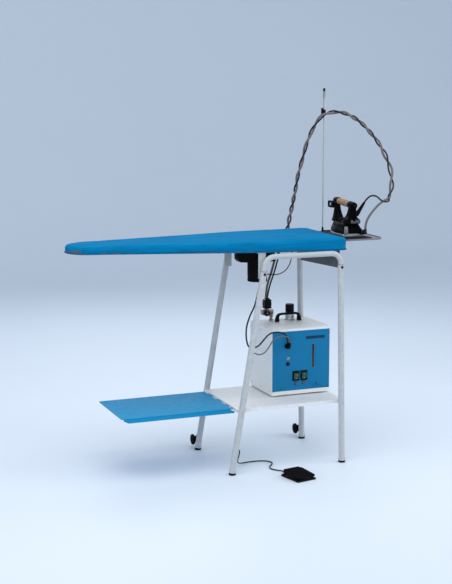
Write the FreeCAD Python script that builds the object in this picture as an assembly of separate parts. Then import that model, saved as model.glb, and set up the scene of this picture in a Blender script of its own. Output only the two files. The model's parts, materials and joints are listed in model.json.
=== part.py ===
import FreeCAD, Part
import math
import os

# Ironing station: padded suction board on a tubular stand, with a steam boiler on the shelf,
# a professional iron on its rest, a hose pole, a linen tray, a fan and a foot pedal.
# Millimetres, +Z up, +X towards the flat end of the board, +Y towards the back.
# Everything is drawn from the foot of the front right leg and moved by SHIFT at export,
# so that the origin lies on the floor under the middle of the bounding box.

V = FreeCAD.Vector
SHIFT = V(449.5, -138.3, 0)

# ---------------------------------------------------------------- driving dimensions
TUBE_R = 12.5            # outer radius of the leg tubes
TUBE_IN = 11.0           # inner radius of the leg tubes
HOOP_R = 10.95           # top hoops push into the legs
FRAME_DEPTH = 392.0      # front legs to rear legs
FOOT_LEFT_X = -489.4     # left feet
LEAN_LEFT = 0.1664       # run of the left legs per mm of height
LEAN_RIGHT = -0.020      # run of the right legs per mm of height
LEG_TOP_LEFT = 812.0
LEG_TOP_RIGHT = 823.0
HOOP_Z = 871.5           # centre line of the hoops' level part
HOOP_BEND = 42.0
HOOP_DEPTH = 760.0       # height where the hoop ends sit inside the legs

SHELF_Z = 262.0          # top of the shelf
SHELF_T = 2.0
SHELF_LIP = 13.0
SHELF_X = (-460.0, 10.0)
SHELF_Y = (12.6, 379.4)

BOARD_Y = 196.0          # centre line of the board
BOARD_HALF = 197.0       # half width of the straight part
BOARD_END_X = 18.0       # flat end
BOARD_TAPER_X = -300.0   # taper starts here
BOARD_NOSE_X = -1010.0   # centre of the nose arc
BOARD_NOSE_R = 95.0
BOARD_TOP_Z = 932.0
BOARD_LOW_Z = 883.0      # underside at the flat end
BOARD_LOW_NOSE_Z = 902.0  # underside at the nose

TRAY_X = (-935.0, -473.5)
TRAY_Y = (40.0, 352.0)
TRAY_Z = (258.5, 261.5)
TRAY_HINGE = (-468.0, 256.0)

BOILER_X = (-253.0, 11.0)
BOILER_Y = (146.0, 376.0)
BOILER_Z = (268.0, 545.0)

PLATE_X = (24.0, 206.0)
PLATE_Y = (45.0, 357.0)
PLATE_TOP = 915.0
POLE = (70.0, 350.0)
POLE_TOP = 1523.0

IRON_X = 97.0
IRON_HEEL_Y = 110.0
SOLE_Z = 919.0

FAN = (-299.0, 196.0)
WHEEL_R = 22.5
WHEEL_W = 10.0
WHEEL_Y = 450.0
WHEEL_Z = 29.0

PEDAL = (-258.0, -132.0)
PEDAL_TURN = 12.0

parts = {}


# ---------------------------------------------------------------- helpers
def box(x0, x1, y0, y1, z0, z1):
    return Part.makeBox(x1 - x0, y1 - y0, z1 - z0, V(x0, y0, z0))


def rod(p0, p1, radius):
    a = V(*p0)
    b = V(*p1)
    return Part.makeCylinder(radius, (b - a).Length, a, b - a)


def pipe(p0, p1, outer, inner):
    return rod(p0, p1, outer).cut(rod(p0, p1, inner))


def join(shapes):
    whole = shapes[0]
    for s in shapes[1:]:
        whole = whole.fuse(s)
    return whole.removeSplitter()


def group(shapes):
    return Part.Compound(shapes)


def prism(points, direction):
    """Straight extrusion of a closed polygon given as 3-D points."""
    closed = [V(*p) for p in points] + [V(*points[0])]
    return Part.Face(Part.makePolygon(closed)).extrude(V(*direction))


def soften(shape, radius, want):
    """Round every edge that the test 'want' picks."""
    edges = [e for e in shape.Edges if want(e)]
    return shape.makeFillet(radius, edges) if edges else shape


def upright(edge):
    a, b = edge.Vertexes[0].Point, edge.Vertexes[-1].Point
    return abs(a.x - b.x) < 1e-6 and abs(a.y - b.y) < 1e-6


def leg_x(side, z):
    if side == "left":
        return FOOT_LEFT_X + LEAN_LEFT * z
    return LEAN_RIGHT * z


def leg_solid(side, y, radius, z0, z1):
    """Leaning round bar between two level cuts."""
    low = (leg_x(side, z0 - 30), y, z0 - 30)
    high = (leg_x(side, z1 + 30), y, z1 + 30)
    return rod(low, high, radius).common(box(-900, 300, y - 60, y + 60, z0, z1))


def bent_path(points, share=0.45, radius=None, report=None):
    """Wire of straight runs joined by tangent arcs."""
    pts = [V(*p) for p in points]
    edges = []
    radii = []
    at = pts[0]
    for i in range(1, len(pts) - 1):
        back = (pts[i - 1] - pts[i])
        ahead = (pts[i + 1] - pts[i])
        turn = math.pi - back.getAngle(ahead)
        tangent = share * min(back.Length, ahead.Length)
        if radius is not None:
            tangent = radius * math.tan(turn / 2)
        radii.append(tangent / math.tan(turn / 2))
        back.normalize()
        ahead.normalize()
        start = pts[i] + back * tangent
        end = pts[i] + ahead * tangent
        inward = back + ahead
        inward.normalize()
        reach = tangent / math.sin(turn / 2) - radii[-1]
        reach = radii[-1] / math.cos(turn / 2) - radii[-1]
        middle = pts[i] + inward * reach
        edges.append(Part.LineSegment(at, start).toShape())
        edges.append(Part.Arc(start, middle, end).toShape())
        at = end
    edges.append(Part.LineSegment(at, pts[-1]).toShape())
    wire = Part.Wire(edges)
    if report:
        low = min(radii)
        print("%s: length %.0f mm, least bend radius %.0f mm" % (report, wire.Length, low))
        print("   radii", " ".join("%.0f" % r for r in radii))
    return wire


def sweep(points, radius, share=0.45, bend=None, report=None):
    wire = bent_path(points, share, bend, report)
    first = wire.Edges[0]
    start = V(*points[0])
    heading = V(*points[1]) - start
    ring = Part.Wire([Part.makeCircle(radius, start, heading)])
    tube = wire.makePipeShell([ring], True, False)
    if report:
        print("   volume over section times length: %.3f"
              % (tube.Volume / (math.pi * radius * radius * wire.Length)))
    return tube


def board_under(x):
    """Height of the board's underside at x."""
    flat_x = -50.0
    full_x = -1000.0
    if x >= flat_x:
        return BOARD_LOW_Z
    if x <= full_x:
        return BOARD_LOW_NOSE_Z
    return BOARD_LOW_Z + (BOARD_LOW_NOSE_Z - BOARD_LOW_Z) * (flat_x - x) / (flat_x - full_x)


def board_block(inset, low, z_top):
    """Board outline drawn in by 'inset', from 'low' above the underside up to z_top."""
    half = BOARD_HALF - inset
    nose = BOARD_NOSE_R - inset
    run = BOARD_TAPER_X - BOARD_NOSE_X
    lean = math.atan2(BOARD_HALF - BOARD_NOSE_R, run)
    touch_x = BOARD_NOSE_X - nose * math.sin(lean)
    touch_y = nose * math.cos(lean)
    end_x = BOARD_END_X - inset
    c = 26.0 - min(inset, 8.0)
    a = V(end_x, BOARD_Y - half + c, 0)
    b = V(end_x, BOARD_Y + half - c, 0)
    corner_hi = V(end_x - c * 0.293, BOARD_Y + half - c * 0.293, 0)
    corner_lo = V(end_x - c * 0.293, BOARD_Y - half + c * 0.293, 0)
    top_s = V(end_x - c, BOARD_Y + half, 0)
    top_t = V(BOARD_TAPER_X, BOARD_Y + half, 0)
    top_n = V(touch_x, BOARD_Y + touch_y, 0)
    tip = V(BOARD_NOSE_X - nose, BOARD_Y, 0)
    low_n = V(touch_x, BOARD_Y - touch_y, 0)
    low_t = V(BOARD_TAPER_X, BOARD_Y - half, 0)
    low_s = V(end_x - c, BOARD_Y - half, 0)
    edges = [Part.LineSegment(a, b).toShape(),
             Part.Arc(b, corner_hi, top_s).toShape(),
             Part.LineSegment(top_s, top_t).toShape(),
             Part.LineSegment(top_t, top_n).toShape(),
             Part.Arc(top_n, tip, low_n).toShape(),
             Part.LineSegment(low_n, low_t).toShape(),
             Part.LineSegment(low_t, low_s).toShape(),
             Part.Arc(low_s, corner_lo, a).toShape()]
    face = Part.Face(Part.Wire(edges))
    face.translate(V(0, 0, 860))
    block = face.extrude(V(0, 0, z_top - 860))
    y0 = BOARD_Y - 300
    under = [(100, y0, 800), (100, y0, board_under(100) + low),
             (-50, y0, board_under(-50) + low), (-620, y0, board_under(-620) + low),
             (-1300, y0, board_under(-1300) + low), (-1300, y0, 800)]
    return block.cut(prism(under, (0, 600, 0)))


# ---------------------------------------------------------------- stand
SIDES = (("front", 0.0), ("rear", FRAME_DEPTH))
collars = []
feet = []
bolts = []
shelf_screws = []
supports = []
for name, y in SIDES:
    outward = -1 if name == "front" else 1
    for side, top in (("left", LEG_TOP_LEFT), ("right", LEG_TOP_RIGHT)):
        bar = leg_solid(side, y, TUBE_R, 6, top)
        bore = leg_solid(side, y, TUBE_IN, 0, top + 5)
        parts["%s_%s_leg" % (name, side)] = bar.cut(bore)
        collar = leg_solid(side, y, TUBE_R, top, top + 5)
        collars.append(collar.cut(leg_solid(side, y, HOOP_R + 0.02, top - 5, top + 10)))
        cap = leg_solid(side, y, TUBE_R + 2.0, 0, 20)
        cap = cap.cut(leg_solid(side, y, TUBE_R, 6, 30))
        feet.append(cap)
        # bolt that locks the hoop in the leg
        bx = leg_x(side, top - 8)
        head = rod((bx, y + outward * (TUBE_R + 0.1), top - 8),
                   (bx, y + outward * (TUBE_R + 5.5), top - 8), 5.0)
        bolts.append(head)
        # screw from the leg into the shelf lip
        sx = leg_x(side, SHELF_Z - 7)
        shelf_screws.append(rod((sx, y + outward * (TUBE_R + 0.1), SHELF_Z - 7),
                                (sx, y + outward * (TUBE_R + 3.0), SHELF_Z - 7), 4.0))
    # top hoop: one bent tube pushed into both legs
    low_l = (leg_x("left", HOOP_DEPTH), y, HOOP_DEPTH)
    top_l = (leg_x("left", HOOP_Z), y, HOOP_Z)
    top_r = (leg_x("right", HOOP_Z), y, HOOP_Z)
    low_r = (leg_x("right", HOOP_DEPTH), y, HOOP_DEPTH)
    hoop_out = sweep([low_l, top_l, top_r, low_r], HOOP_R, bend=HOOP_BEND)
    hoop_in = sweep([low_l, top_l, top_r, low_r], HOOP_R - 1.5, bend=HOOP_BEND)
    parts["%s_hoop" % name] = hoop_out.cut(hoop_in)
    # flat strut from the top of the left leg up to the board
    back = y - outward * (TUBE_R + 0.1)
    yy = sorted((back, back - outward * 5.0))
    strut_top = board_under(-355) - 0.2
    strut = box(-371, -340, yy[0], yy[1], 785, strut_top)
    tab = sorted((back, back - outward * 30.0))
    strut = strut.fuse(box(-371, -340, tab[0], tab[1], strut_top - 4, strut_top))
    above = [(-376, -20, board_under(-376) - 0.2), (-334, -20, board_under(-334) - 0.2),
             (-334, -20, 920), (-376, -20, 920)]
    supports.append(strut.cut(prism(above, (0, 440, 0))))

parts["frame_bolts"] = group(bolts + shelf_screws)
leg_trim = collars + feet

x0, x1 = SHELF_X
y0, y1 = SHELF_Y
sheet = box(x0, x1, y0, y1, SHELF_Z - SHELF_LIP, SHELF_Z)
sheet = sheet.cut(box(x0 + SHELF_T, x1 - SHELF_T, y0 + SHELF_T, y1 - SHELF_T,
                      SHELF_Z - SHELF_LIP - 1, SHELF_Z - SHELF_T))
parts["shelf"] = sheet

parts["board_supports"] = group(supports)

# ---------------------------------------------------------------- board
chamber = board_block(4.0, 1.8, 915.0).cut(board_block(5.6, 3.4, 920.0))
chamber = chamber.cut(rod((FAN[0], FAN[1], 850), (FAN[0], FAN[1], 900), 32.0))
mesh = board_block(4.0, 0, 916.6).common(box(-1300, 100, -100, 500, 915.0, 916.6))
holes = []
for i in range(12):
    for j in range(3):
        hx = -960.0 + i * 80.0
        hy = BOARD_Y + (j - 1) * 55.0
        holes.append(rod((hx, hy, 900), (hx, hy, 930), 8.0))
# dark end plate across the right legs, deeper towards the rear, with a bent top edge
px = leg_x("right", 840)
side = [V(px - 1, 12.6, 809), V(px - 1, 379.4, 793), V(px - 1, 379.4, BOARD_LOW_Z - 0.2),
        V(px - 1, 12.6, BOARD_LOW_Z - 0.2), V(px - 1, 12.6, 809)]
plate = Part.Face(Part.makePolygon(side)).extrude(V(2, 0, 0))
plate = plate.fuse(box(px - 24, px + 1, 12.6, 379.4, BOARD_LOW_Z - 2.2, BOARD_LOW_Z - 0.2))
parts["board_chamber"] = group([chamber.fuse(mesh.cut(Part.Compound(holes))), plate])
parts["board_pad"] = board_block(4.0, 0, 928.4).common(box(-1300, 100, -100, 500, 916.6, 928.4))
cover = board_block(0.0, 0.0, BOARD_TOP_Z).cut(board_block(3.7, 1.6, 928.7))
cover = cover.cut(board_block(30.0, -30.0, 910.0))
parts["board_cover"] = soften(cover, 3.0, lambda e: min(v.Z for v in e.Vertexes) > BOARD_TOP_Z - 0.01)

# ---------------------------------------------------------------- suction fan
fx, fy = FAN
# the duct narrows towards the nose of the board, in side view and in plan
duct = [(-394, 150, 841.5), (-382, 150, 829.5), (-240, 150, 829.5),
        (-240, 150, board_under(-240) - 0.3), (-394, 150, board_under(-394) - 0.3)]
duct_plan = [(-394, 180, 800), (-394, 212, 800), (-350, 242, 800), (-240, 242, 800),
             (-240, 150, 800), (-350, 150, 800)]
inner = [(-392, 152, 842.5), (-381, 152, 831.5), (-242, 152, 831.5), (-242, 152, 884), (-392, 152, 884)]
inner_plan = [(-392, 181, 800), (-392, 211, 800), (-349.4, 240, 800), (-242, 240, 800),
              (-242, 152, 800), (-349.4, 152, 800)]
shell = prism(duct, (0, 92, 0)).common(prism(duct_plan, (0, 0, 120)))
shell = shell.cut(prism(inner, (0, 88, 0)).common(prism(inner_plan, (0, 0, 120))))
shell = shell.cut(rod((fx, fy, 824), (fx, fy, 840), 34.0))
shell = shell.cut(rod((fx, fy, 880), (fx, fy, 900), 30.0))
parts["fan_duct"] = shell
cup = rod((fx, fy, 746), (fx, fy, 829.3), 40.0).cut(rod((fx, fy, 749), (fx, fy, 835), 37.5))
for k in range(6):
    a = math.radians(60 * k)
    cx = fx + 24 * math.cos(a)
    cy = fy + 24 * math.sin(a)
    cup = cup.cut(rod((cx, cy, 740), (cx, cy, 752), 6.0))
motor = rod((fx, fy, 749), (fx, fy, 788), 14.0)
motor = motor.fuse(rod((fx, fy, 788), (fx, fy, 818), 3.0))
parts["fan_housing"] = cup.fuse(motor)
wheel = rod((fx, fy, 792), (fx, fy, 812), 9.0).fuse(rod((fx, fy, 792), (fx, fy, 794), 32.0))
for k in range(8):
    blade = box(fx + 8, fx + 32, fy - 0.8, fy + 0.8, 792, 812)
    blade.rotate(V(fx, fy, 0), V(0, 0, 1), 45 * k)
    wheel = wheel.fuse(blade)
parts["fan_impeller"] = wheel.cut(rod((fx, fy, 780), (fx, fy, 830), 3.05))

# ---------------------------------------------------------------- linen tray
hx, hz = TRAY_HINGE
t0, t1 = TRAY_Y
tray = box(TRAY_X[0], TRAY_X[1], t0, t1, TRAY_Z[0], TRAY_Z[1])
parts["linen_tray"] = soften(tray, 12.0, lambda e: upright(e) and e.Vertexes[0].X < -900)
rails = []
for ry in (t0 + 1.0, t1 - 21.0):
    rail = box(-925, -480, ry, ry + 20, 256.5, TRAY_Z[0])
    wall_y = ry if ry < 200 else ry + 18
    web = prism([(-925, wall_y, 252), (-905, wall_y, 242), (-461.0, wall_y, 242),
                 (-461.0, wall_y, 248), (-480, wall_y, 256.5), (-925, wall_y, 256.5)], (0, 2, 0))
    rails.append(rail.fuse(web).removeSplitter())
tray_knuckles = []
shelf_knuckles = []
for ky, length in ((82.0, 40.0), (176.0, 40.0), (270.0, 40.0)):
    tube = pipe((hx, ky, hz), (hx, ky + length, hz), 5.0, 3.05)
    leaf = box(-500, hx - 3, ky, ky + length, 256.9, TRAY_Z[0])
    tray_knuckles.append(tube.fuse(leaf.cut(rod((hx, 0, hz), (hx, 400, hz), 3.06))))
for ky, length in ((61.0, 20.4), (122.6, 20.0), (310.6, 20.4)):
    tube = pipe((hx, ky, hz), (hx, ky + length, hz), 5.0, 3.0)
    leaf = box(hx + 2, SHELF_X[0] - 0.05, ky, ky + length, hz - 2.5, hz + 2.5)
    leaf = leaf.cut(rod((hx, 0, hz), (hx, 400, hz), 3.0))
    shelf_knuckles.append(tube.fuse(leaf))
parts["tray_rails"] = group(rails + tray_knuckles)
parts["tray_hinge"] = join(shelf_knuckles + [rod((hx, 56, hz), (hx, 336, hz), 3.0)])

# ---------------------------------------------------------------- rear wheels
brackets = []
for name in ("left", "right"):
    wx = leg_x(name, WHEEL_Z) - 4.5
    hub_x = (wx - WHEEL_W / 2, wx + WHEEL_W / 2)
    tyre = pipe((hub_x[0], WHEEL_Y, WHEEL_Z), (hub_x[1], WHEEL_Y, WHEEL_Z), WHEEL_R, WHEEL_R - 6)
    tyre = soften(tyre, 2.5, lambda e: abs(e.Length - 2 * math.pi * WHEEL_R) < 1)
    hub = pipe((hub_x[0] + 1, WHEEL_Y, WHEEL_Z), (hub_x[1] - 1, WHEEL_Y, WHEEL_Z), WHEEL_R - 6, 4.05)
    hub = hub.cut(pipe((hub_x[0], WHEEL_Y, WHEEL_Z), (hub_x[0] + 3, WHEEL_Y, WHEEL_Z), 14.5, 8.0))
    parts["wheel_%s" % name] = tyre.fuse(hub)
    bx = hub_x[1] + 1.0
    profile = [(bx, 404.7, 21), (bx, WHEEL_Y, 19), (bx, WHEEL_Y + 8, 24), (bx, WHEEL_Y + 8, 34),
               (bx, WHEEL_Y, 39), (bx, 404.7, 66)]
    arm = prism(profile, (4.0, 0, 0))
    pin = rod((hub_x[0] - 1.0, WHEEL_Y, WHEEL_Z), (bx + 1, WHEEL_Y, WHEEL_Z), 4.0)
    head = rod((hub_x[0] - 3.5, WHEEL_Y, WHEEL_Z), (hub_x[0] - 1.0, WHEEL_Y, WHEEL_Z), 6.5)
    brackets.append(join([arm, pin, head]))
parts["wheel_brackets"] = group(brackets)

# ---------------------------------------------------------------- boiler
bx0, bx1 = BOILER_X
by0, by1 = BOILER_Y
bz0, bz1 = BOILER_Z
skin = 1.6
hood = box(bx0, bx1, by0, by1, bz0, bz1)
hood = hood.cut(box(bx0 + skin, bx1 - skin, by0 - 1, by1 + 1, bz0 - 1, bz1 - skin))
hood = hood.fuse(box(bx0, bx1, by0, by0 + skin, bz1 - 10, bz1))
for cx, cy, r in ((-84.0, 345.0, 20.1), (-168.0, 352.0, 6.1)):
    hood = hood.cut(rod((cx, cy, 530), (cx, cy, 560), r))
hood = soften(hood, 2.0, lambda e: abs(e.Length - (by1 - by0)) < 0.01
              and min(v.Z for v in e.Vertexes) > bz1 - 0.01)
floor = box(bx0 + skin, bx1 - skin, by0 + skin, by1 - skin, bz0, bz0 + skin)
floor = floor.fuse(box(bx0 + skin, bx1 - skin, by0, by0 + skin, bz0, bz0 + 16))
PANEL_Z = (bz0 + 16.2, bz1 - 10.2)
front = box(bx0 + 2.0, bx1 - 2.0, by0, by0 + skin, PANEL_Z[0], PANEL_Z[1])
SWITCH_X = (-144.0, -108.0)
SWITCH_Z = 345.0
LAMPS = ((-144.0, 312.0), (-108.0, 314.0))
WINDOW = (-66.0, 426.0, 10.0, 98.0)
GLAND = (-185.0, 474.0)
PILOT = (-180.0, 421.0)
RESET = (-181.0, 398.0)
for sx in SWITCH_X:
    front = front.cut(box(sx - 13.6, sx + 13.6, by0 - 2, by0 + 5, SWITCH_Z - 15.2, SWITCH_Z + 15.2))
for lx, lz in LAMPS + (PILOT,):
    front = front.cut(rod((lx, by0 - 2, lz), (lx, by0 + 5, lz), 4.5))
front = front.cut(rod((RESET[0], by0 - 2, RESET[1]), (RESET[0], by0 + 5, RESET[1]), 5.5))
front = front.cut(rod((GLAND[0], by0 - 2, GLAND[1]), (GLAND[0], by0 + 5, GLAND[1]), 8.0))
wx, wz, ww, wh = WINDOW
front = front.cut(box(wx - ww / 2, wx + ww / 2, by0 - 2, by0 + 5, wz - wh / 2, wz + wh / 2))
parts["boiler_front_panel"] = front
rear = box(bx0 + 1.8, bx1 - 1.8, by1 - skin, by1, bz0 + 2, bz1 - 1.8)
rear = rear.cut(box(-60, -28, by1 - 5, by1 + 2, 300, 324))
for k in range(8):
    z = 440 + 10 * k
    rear = rear.cut(box(-200, -100, by1 - 5, by1 + 2, z, z + 4))
parts["mains_inlet"] = box(-59.8, -28.2, by1 - 20, by1 + 0.5, 300.2, 323.8).cut(
    box(-56, -32, by1 - 15, by1 + 2, 304, 320))
boiler_feet = [rod((foot_x, foot_y, SHELF_Z), (foot_x, foot_y, bz0), 10.0)
               for foot_x in (bx0 + 22, bx1 - 22) for foot_y in (by0 + 22, by1 - 22)]
parts["boiler_cabinet"] = group([hood, rear, join([floor] + boiler_feet)])
tank = rod((-100, 280, 292), (-100, 280, 516), 76.0).cut(rod((-100, 280, 294), (-100, 280, 514), 74.0))
tank = soften(tank, 12.0, lambda e: abs(e.Length - 2 * math.pi * 76.0) < 1)
legs = [box(-100 + dx - 5, -100 + dx + 5, 280 + dy - 5, 280 + dy + 5, bz0 + skin, 300)
        for dx in (-50, 50) for dy in (-50, 50)]
outer_tank = rod((-100, 280, 292), (-100, 280, 516), 76.2)
heater = sweep([(-130, 280, 294), (-130, 280, 330), (-70, 280, 330), (-70, 280, 294)], 4.0, bend=14.0)
parts["boiler_tank"] = group([tank, heater] + [leg.cut(outer_tank) for leg in legs])
neck = pipe((-84, 345, 530), (-84, 345, 573), 20.0, 13.0)
neck = neck.cut(rod((-100, 280, 500), (-100, 280, 535), 76.3))
parts["filler_neck"] = neck.fuse(pipe((-84, 345, 545.1), (-84, 345, 549), 24.0, 19.0))
cap = rod((-84, 345, 573.3), (-84, 345, 612), 18.5)
cap = cap.fuse(rod((-84, 345, 556), (-84, 345, 573.3), 12.6))
for k in range(12):
    a = math.radians(30 * k)
    gx = -84 + 19.3 * math.cos(a)
    gy = 345 + 19.3 * math.sin(a)
    cap = cap.cut(rod((gx, gy, 578), (gx, gy, 615), 2.0))
parts["filler_cap"] = cap
grip = box(-168, -46, 303, 317, 573, 583)
feet_h = [box(-168, -148, 301, 319, 545.1, 576), box(-66, -46, 301, 319, 545.1, 576)]
handle = join([grip] + feet_h)
parts["carry_handle"] = soften(handle, 3.0, lambda e: min(v.Z for v in e.Vertexes) > 582.9)
KNOB_X = -201.0
KNOB_Z = 584.0
parts["valve_body"] = join([rod((-168, 352, 538), (-168, 352, 572), 6.0),
                            box(-212, -160, 342, 362, 571, 594),
                            rod((-188, 350, 590), (-188, 350, 599.3), 7.0),
                            rod((KNOB_X, 343, KNOB_Z), (KNOB_X, 331, KNOB_Z), 9.0),
                            rod((KNOB_X, 350, KNOB_Z), (KNOB_X, 312, KNOB_Z), 3.0),
                            rod((-180, 352, 582), (-180, 386, 582), 6.0),
                            rod((-180, 380, 580), (-180, 380, 640), 5.0)])
knob = rod((KNOB_X, 329.5, KNOB_Z), (KNOB_X, 314, KNOB_Z), 13.5)
for k in range(8):
    a = math.radians(45 * k)
    gx = KNOB_X + 14.6 * math.cos(a)
    gz = KNOB_Z + 14.6 * math.sin(a)
    knob = knob.cut(rod((gx, 340, gz), (gx, 310, gz), 2.5))
parts["steam_knob"] = knob.cut(rod((KNOB_X, 345, KNOB_Z), (KNOB_X, 300, KNOB_Z), 3.05))
coil = box(-204, -172, 334, 366, 599.5, 637)
coil = soften(coil, 4.0, upright)
parts["solenoid_coil"] = coil.fuse(box(-195, -177, 342, 360, 637, 643))

# front panel fittings
bezels = []
bodies = []
for n, sx in zip(("left", "right"), SWITCH_X):
    frame = box(sx - 15.5, sx + 15.5, by0 - 2.5, by0 - 0.1, SWITCH_Z - 21, SWITCH_Z + 21)
    bezels.append(frame.cut(box(sx - 11, sx + 11, by0 - 5, by0 + 5, SWITCH_Z - 15, SWITCH_Z + 15)))
    case = box(sx - 13.4, sx + 13.4, by0 + 0.1, by0 + 36, SWITCH_Z - 15, SWITCH_Z + 15)
    case = case.cut(box(sx - 11.2, sx + 11.2, by0 - 1, by0 + 19.5, SWITCH_Z - 16, SWITCH_Z + 16))
    case = case.cut(rod((sx - 14, by0 + 4, SWITCH_Z), (sx + 14, by0 + 4, SWITCH_Z), 1.55))
    bodies.append(case)
    rocker = rod((sx - 10.5, by0 + 4, SWITCH_Z), (sx + 10.5, by0 + 4, SWITCH_Z), 14.2)
    rocker = rocker.common(box(sx - 11, sx + 11, by0 - 6.5, by0 + 10, SWITCH_Z - 14, SWITCH_Z + 14))
    rocker = rocker.fuse(rod((sx - 12.8, by0 + 4, SWITCH_Z), (sx + 12.8, by0 + 4, SWITCH_Z), 1.5))
    rocker.rotate(V(sx, by0 + 4, SWITCH_Z), V(1, 0, 0), 7)
    parts["rocker_%s" % n] = rocker
lamps = []
for lx, lz in LAMPS + (PILOT,):
    dome = rod((lx, by0 - 3, lz), (lx, by0 + 12, lz), 4.4).fuse(
        rod((lx, by0 - 4.5, lz), (lx, by0 - 0.1, lz), 6.0))
    lamps.append(dome)
parts["indicator_lamps"] = group(lamps)
bush = pipe((RESET[0], by0 - 4, RESET[1]), (RESET[0], by0 + 14, RESET[1]), 5.4, 3.6)
parts["switch_frames"] = group(bezels + bodies + [bush])
parts["reset_button"] = rod((RESET[0], by0 - 7, RESET[1]), (RESET[0], by0 + 9, RESET[1]), 3.55)
glass = box(wx - ww / 2 + 0.2, wx + ww / 2 - 0.2, by0 + 0.2, by0 + 3, wz - wh / 2 + 0.2, wz + wh / 2 - 0.2)
parts["level_window"] = glass
rim = box(wx - ww / 2 - 2.5, wx + ww / 2 + 2.5, by0 - 1.5, by0 - 0.1, wz - wh / 2 - 2.5, wz + wh / 2 + 2.5)
rim = rim.cut(box(wx - ww / 2, wx + ww / 2, by0 - 5, by0 + 5, wz - wh / 2, wz + wh / 2))
gx, gz = GLAND
elbow = rod((gx, by0 + 12, gz), (gx, by0 - 16, gz), 7.8)
elbow = elbow.fuse(rod((gx, by0 - 16, gz - 8), (gx, by0 - 16, gz + 15), 8.5))
parts["cable_gland"] = elbow.fuse(rod((gx, by0 - 3, gz), (gx, by0 - 0.1, gz), 11.0))
SCREWS = ((-243, 292), (1, 292), (-243, 527), (1, 527), (-51, 306))
screws = [rod((sx, by0 - 1.8, sz), (sx, by0 - 0.1, sz), 3.0) for sx, sz in SCREWS]
parts["panel_trim"] = group([rim] + screws)

# ---------------------------------------------------------------- iron rest and hose pole
px0, px1 = PLATE_X
py0, py1 = PLATE_Y
rest = box(px0, px1, py0, py1, PLATE_TOP - 4, PLATE_TOP + 3)
rest = soften(rest, 40.0, lambda e: upright(e) and e.Vertexes[0].X > px1 - 1)
rest = soften(rest, 8.0, lambda e: upright(e) and e.Vertexes[0].X < px0 + 1)
well = box(px0 + 2.5, px1 - 2.5, py0 + 2.5, py1 - 2.5, PLATE_TOP, PLATE_TOP + 10)
well = soften(well, 37.5, lambda e: upright(e) and e.Vertexes[0].X > px1 - 4)
well = soften(well, 6.0, lambda e: upright(e) and e.Vertexes[0].X < px0 + 4)
rest = rest.cut(well)
parts["rest_mat"] = soften(box(36, 160, 64, 336, PLATE_TOP, PLATE_TOP + 4), 8.0, upright)
arms = []
for ay in (105.0, 285.0):
    arm = box(20.4, 120, ay, ay + 22, PLATE_TOP - 8, PLATE_TOP - 4)
    arm = arm.fuse(box(20.4, 24.4, ay, ay + 22, 876.6, PLATE_TOP - 4))
    arms.append(arm.fuse(box(-15.6, 24.4, ay, ay + 22, 876.6, 880.6)).removeSplitter())
parts["rest_plate"] = join([rest] + arms)
cx, cy = POLE
socket = join([box(cx - 6, cx + 44, cy - 5, cy + 2, PLATE_TOP + 3.1, PLATE_TOP + 6.6),
               rod((cx, cy, PLATE_TOP + 3.1), (cx, cy, PLATE_TOP + 20), 4.4)])
socket = socket.cut(rod((cx, cy, PLATE_TOP + 6), (cx, cy, PLATE_TOP + 40), 2.5))
parts["hose_pole"] = join([rod((cx, cy, PLATE_TOP + 6), (cx, cy, 1440), 2.5),
                           rod((cx, cy, 1412), (cx, cy, POLE_TOP - 14), 4.5)])
parts["pole_tip"] = rod((cx, cy, POLE_TOP - 14), (cx, cy, POLE_TOP), 4.6)
clip = pipe((cx, cy, 1417), (cx, cy, 1433), 7.5, 4.5)
clip = clip.fuse(box(cx - 16, cx - 6, cy - 8, cy - 4, 1412, 1440))
clip = clip.cut(rod((cx, cy, 1400), (cx, cy, 1450), 4.5))
parts["pole_fittings"] = group([socket, clip])


# ---------------------------------------------------------------- iron
def sole_outline(inset, z):
    """Heel square, sides bowed, nose pointed, as a closed wire at height z."""
    w = 50.0 - inset
    heel = IRON_HEEL_Y + inset
    nose = 322.0 - inset * 1.8
    mid = (heel + nose) / 2
    p = [V(IRON_X - w, heel, z), V(IRON_X + w, heel, z), V(IRON_X + w, mid - 20, z),
         V(IRON_X + w * 0.66, mid + 45, z), V(IRON_X, nose, z),
         V(IRON_X - w * 0.66, mid + 45, z), V(IRON_X - w, mid - 20, z)]
    return Part.Wire([Part.LineSegment(p[0], p[1]).toShape(),
                      Part.LineSegment(p[1], p[2]).toShape(),
                      Part.Arc(p[2], p[3], p[4]).toShape(),
                      Part.Arc(p[4], p[5], p[6]).toShape(),
                      Part.LineSegment(p[6], p[0]).toShape()])


sole = Part.makeLoft([sole_outline(0, SOLE_Z), sole_outline(2, SOLE_Z + 12)], True)
inlet = [box(125, 147, 96, 109.8, 928, 948), box(128, 144, 105, 114, 926, 930.9),
         rod((140, 92, 930), (140, 92, 952), 6.5)]
parts["iron_soleplate"] = join([sole] + inlet)
lower = Part.makeLoft([sole_outline(3, SOLE_Z + 12.2), sole_outline(12, SOLE_Z + 34),
                       sole_outline(20, SOLE_Z + 54)], True, True)
parts["iron_body"] = lower


def post(y0, z0, ry0, y1, z1, ry1, rx0, rx1):
    """Tapered oval post."""
    wires = []
    for y, z, rx, ry in ((y0, z0, rx0, ry0), ((y0 + y1) / 2, (z0 + z1) / 2, rx1, ry1), (y1, z1, rx1, ry1)):
        if rx >= ry:
            curve = Part.Ellipse(V(IRON_X, y, z), rx, ry)
        else:
            curve = Part.Ellipse(V(IRON_X, y + ry, z), V(IRON_X + rx, y, z), V(IRON_X, y, z))
        wires.append(Part.Wire([curve.toShape()]))
    return Part.makeLoft(wires, True, True)


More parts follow.
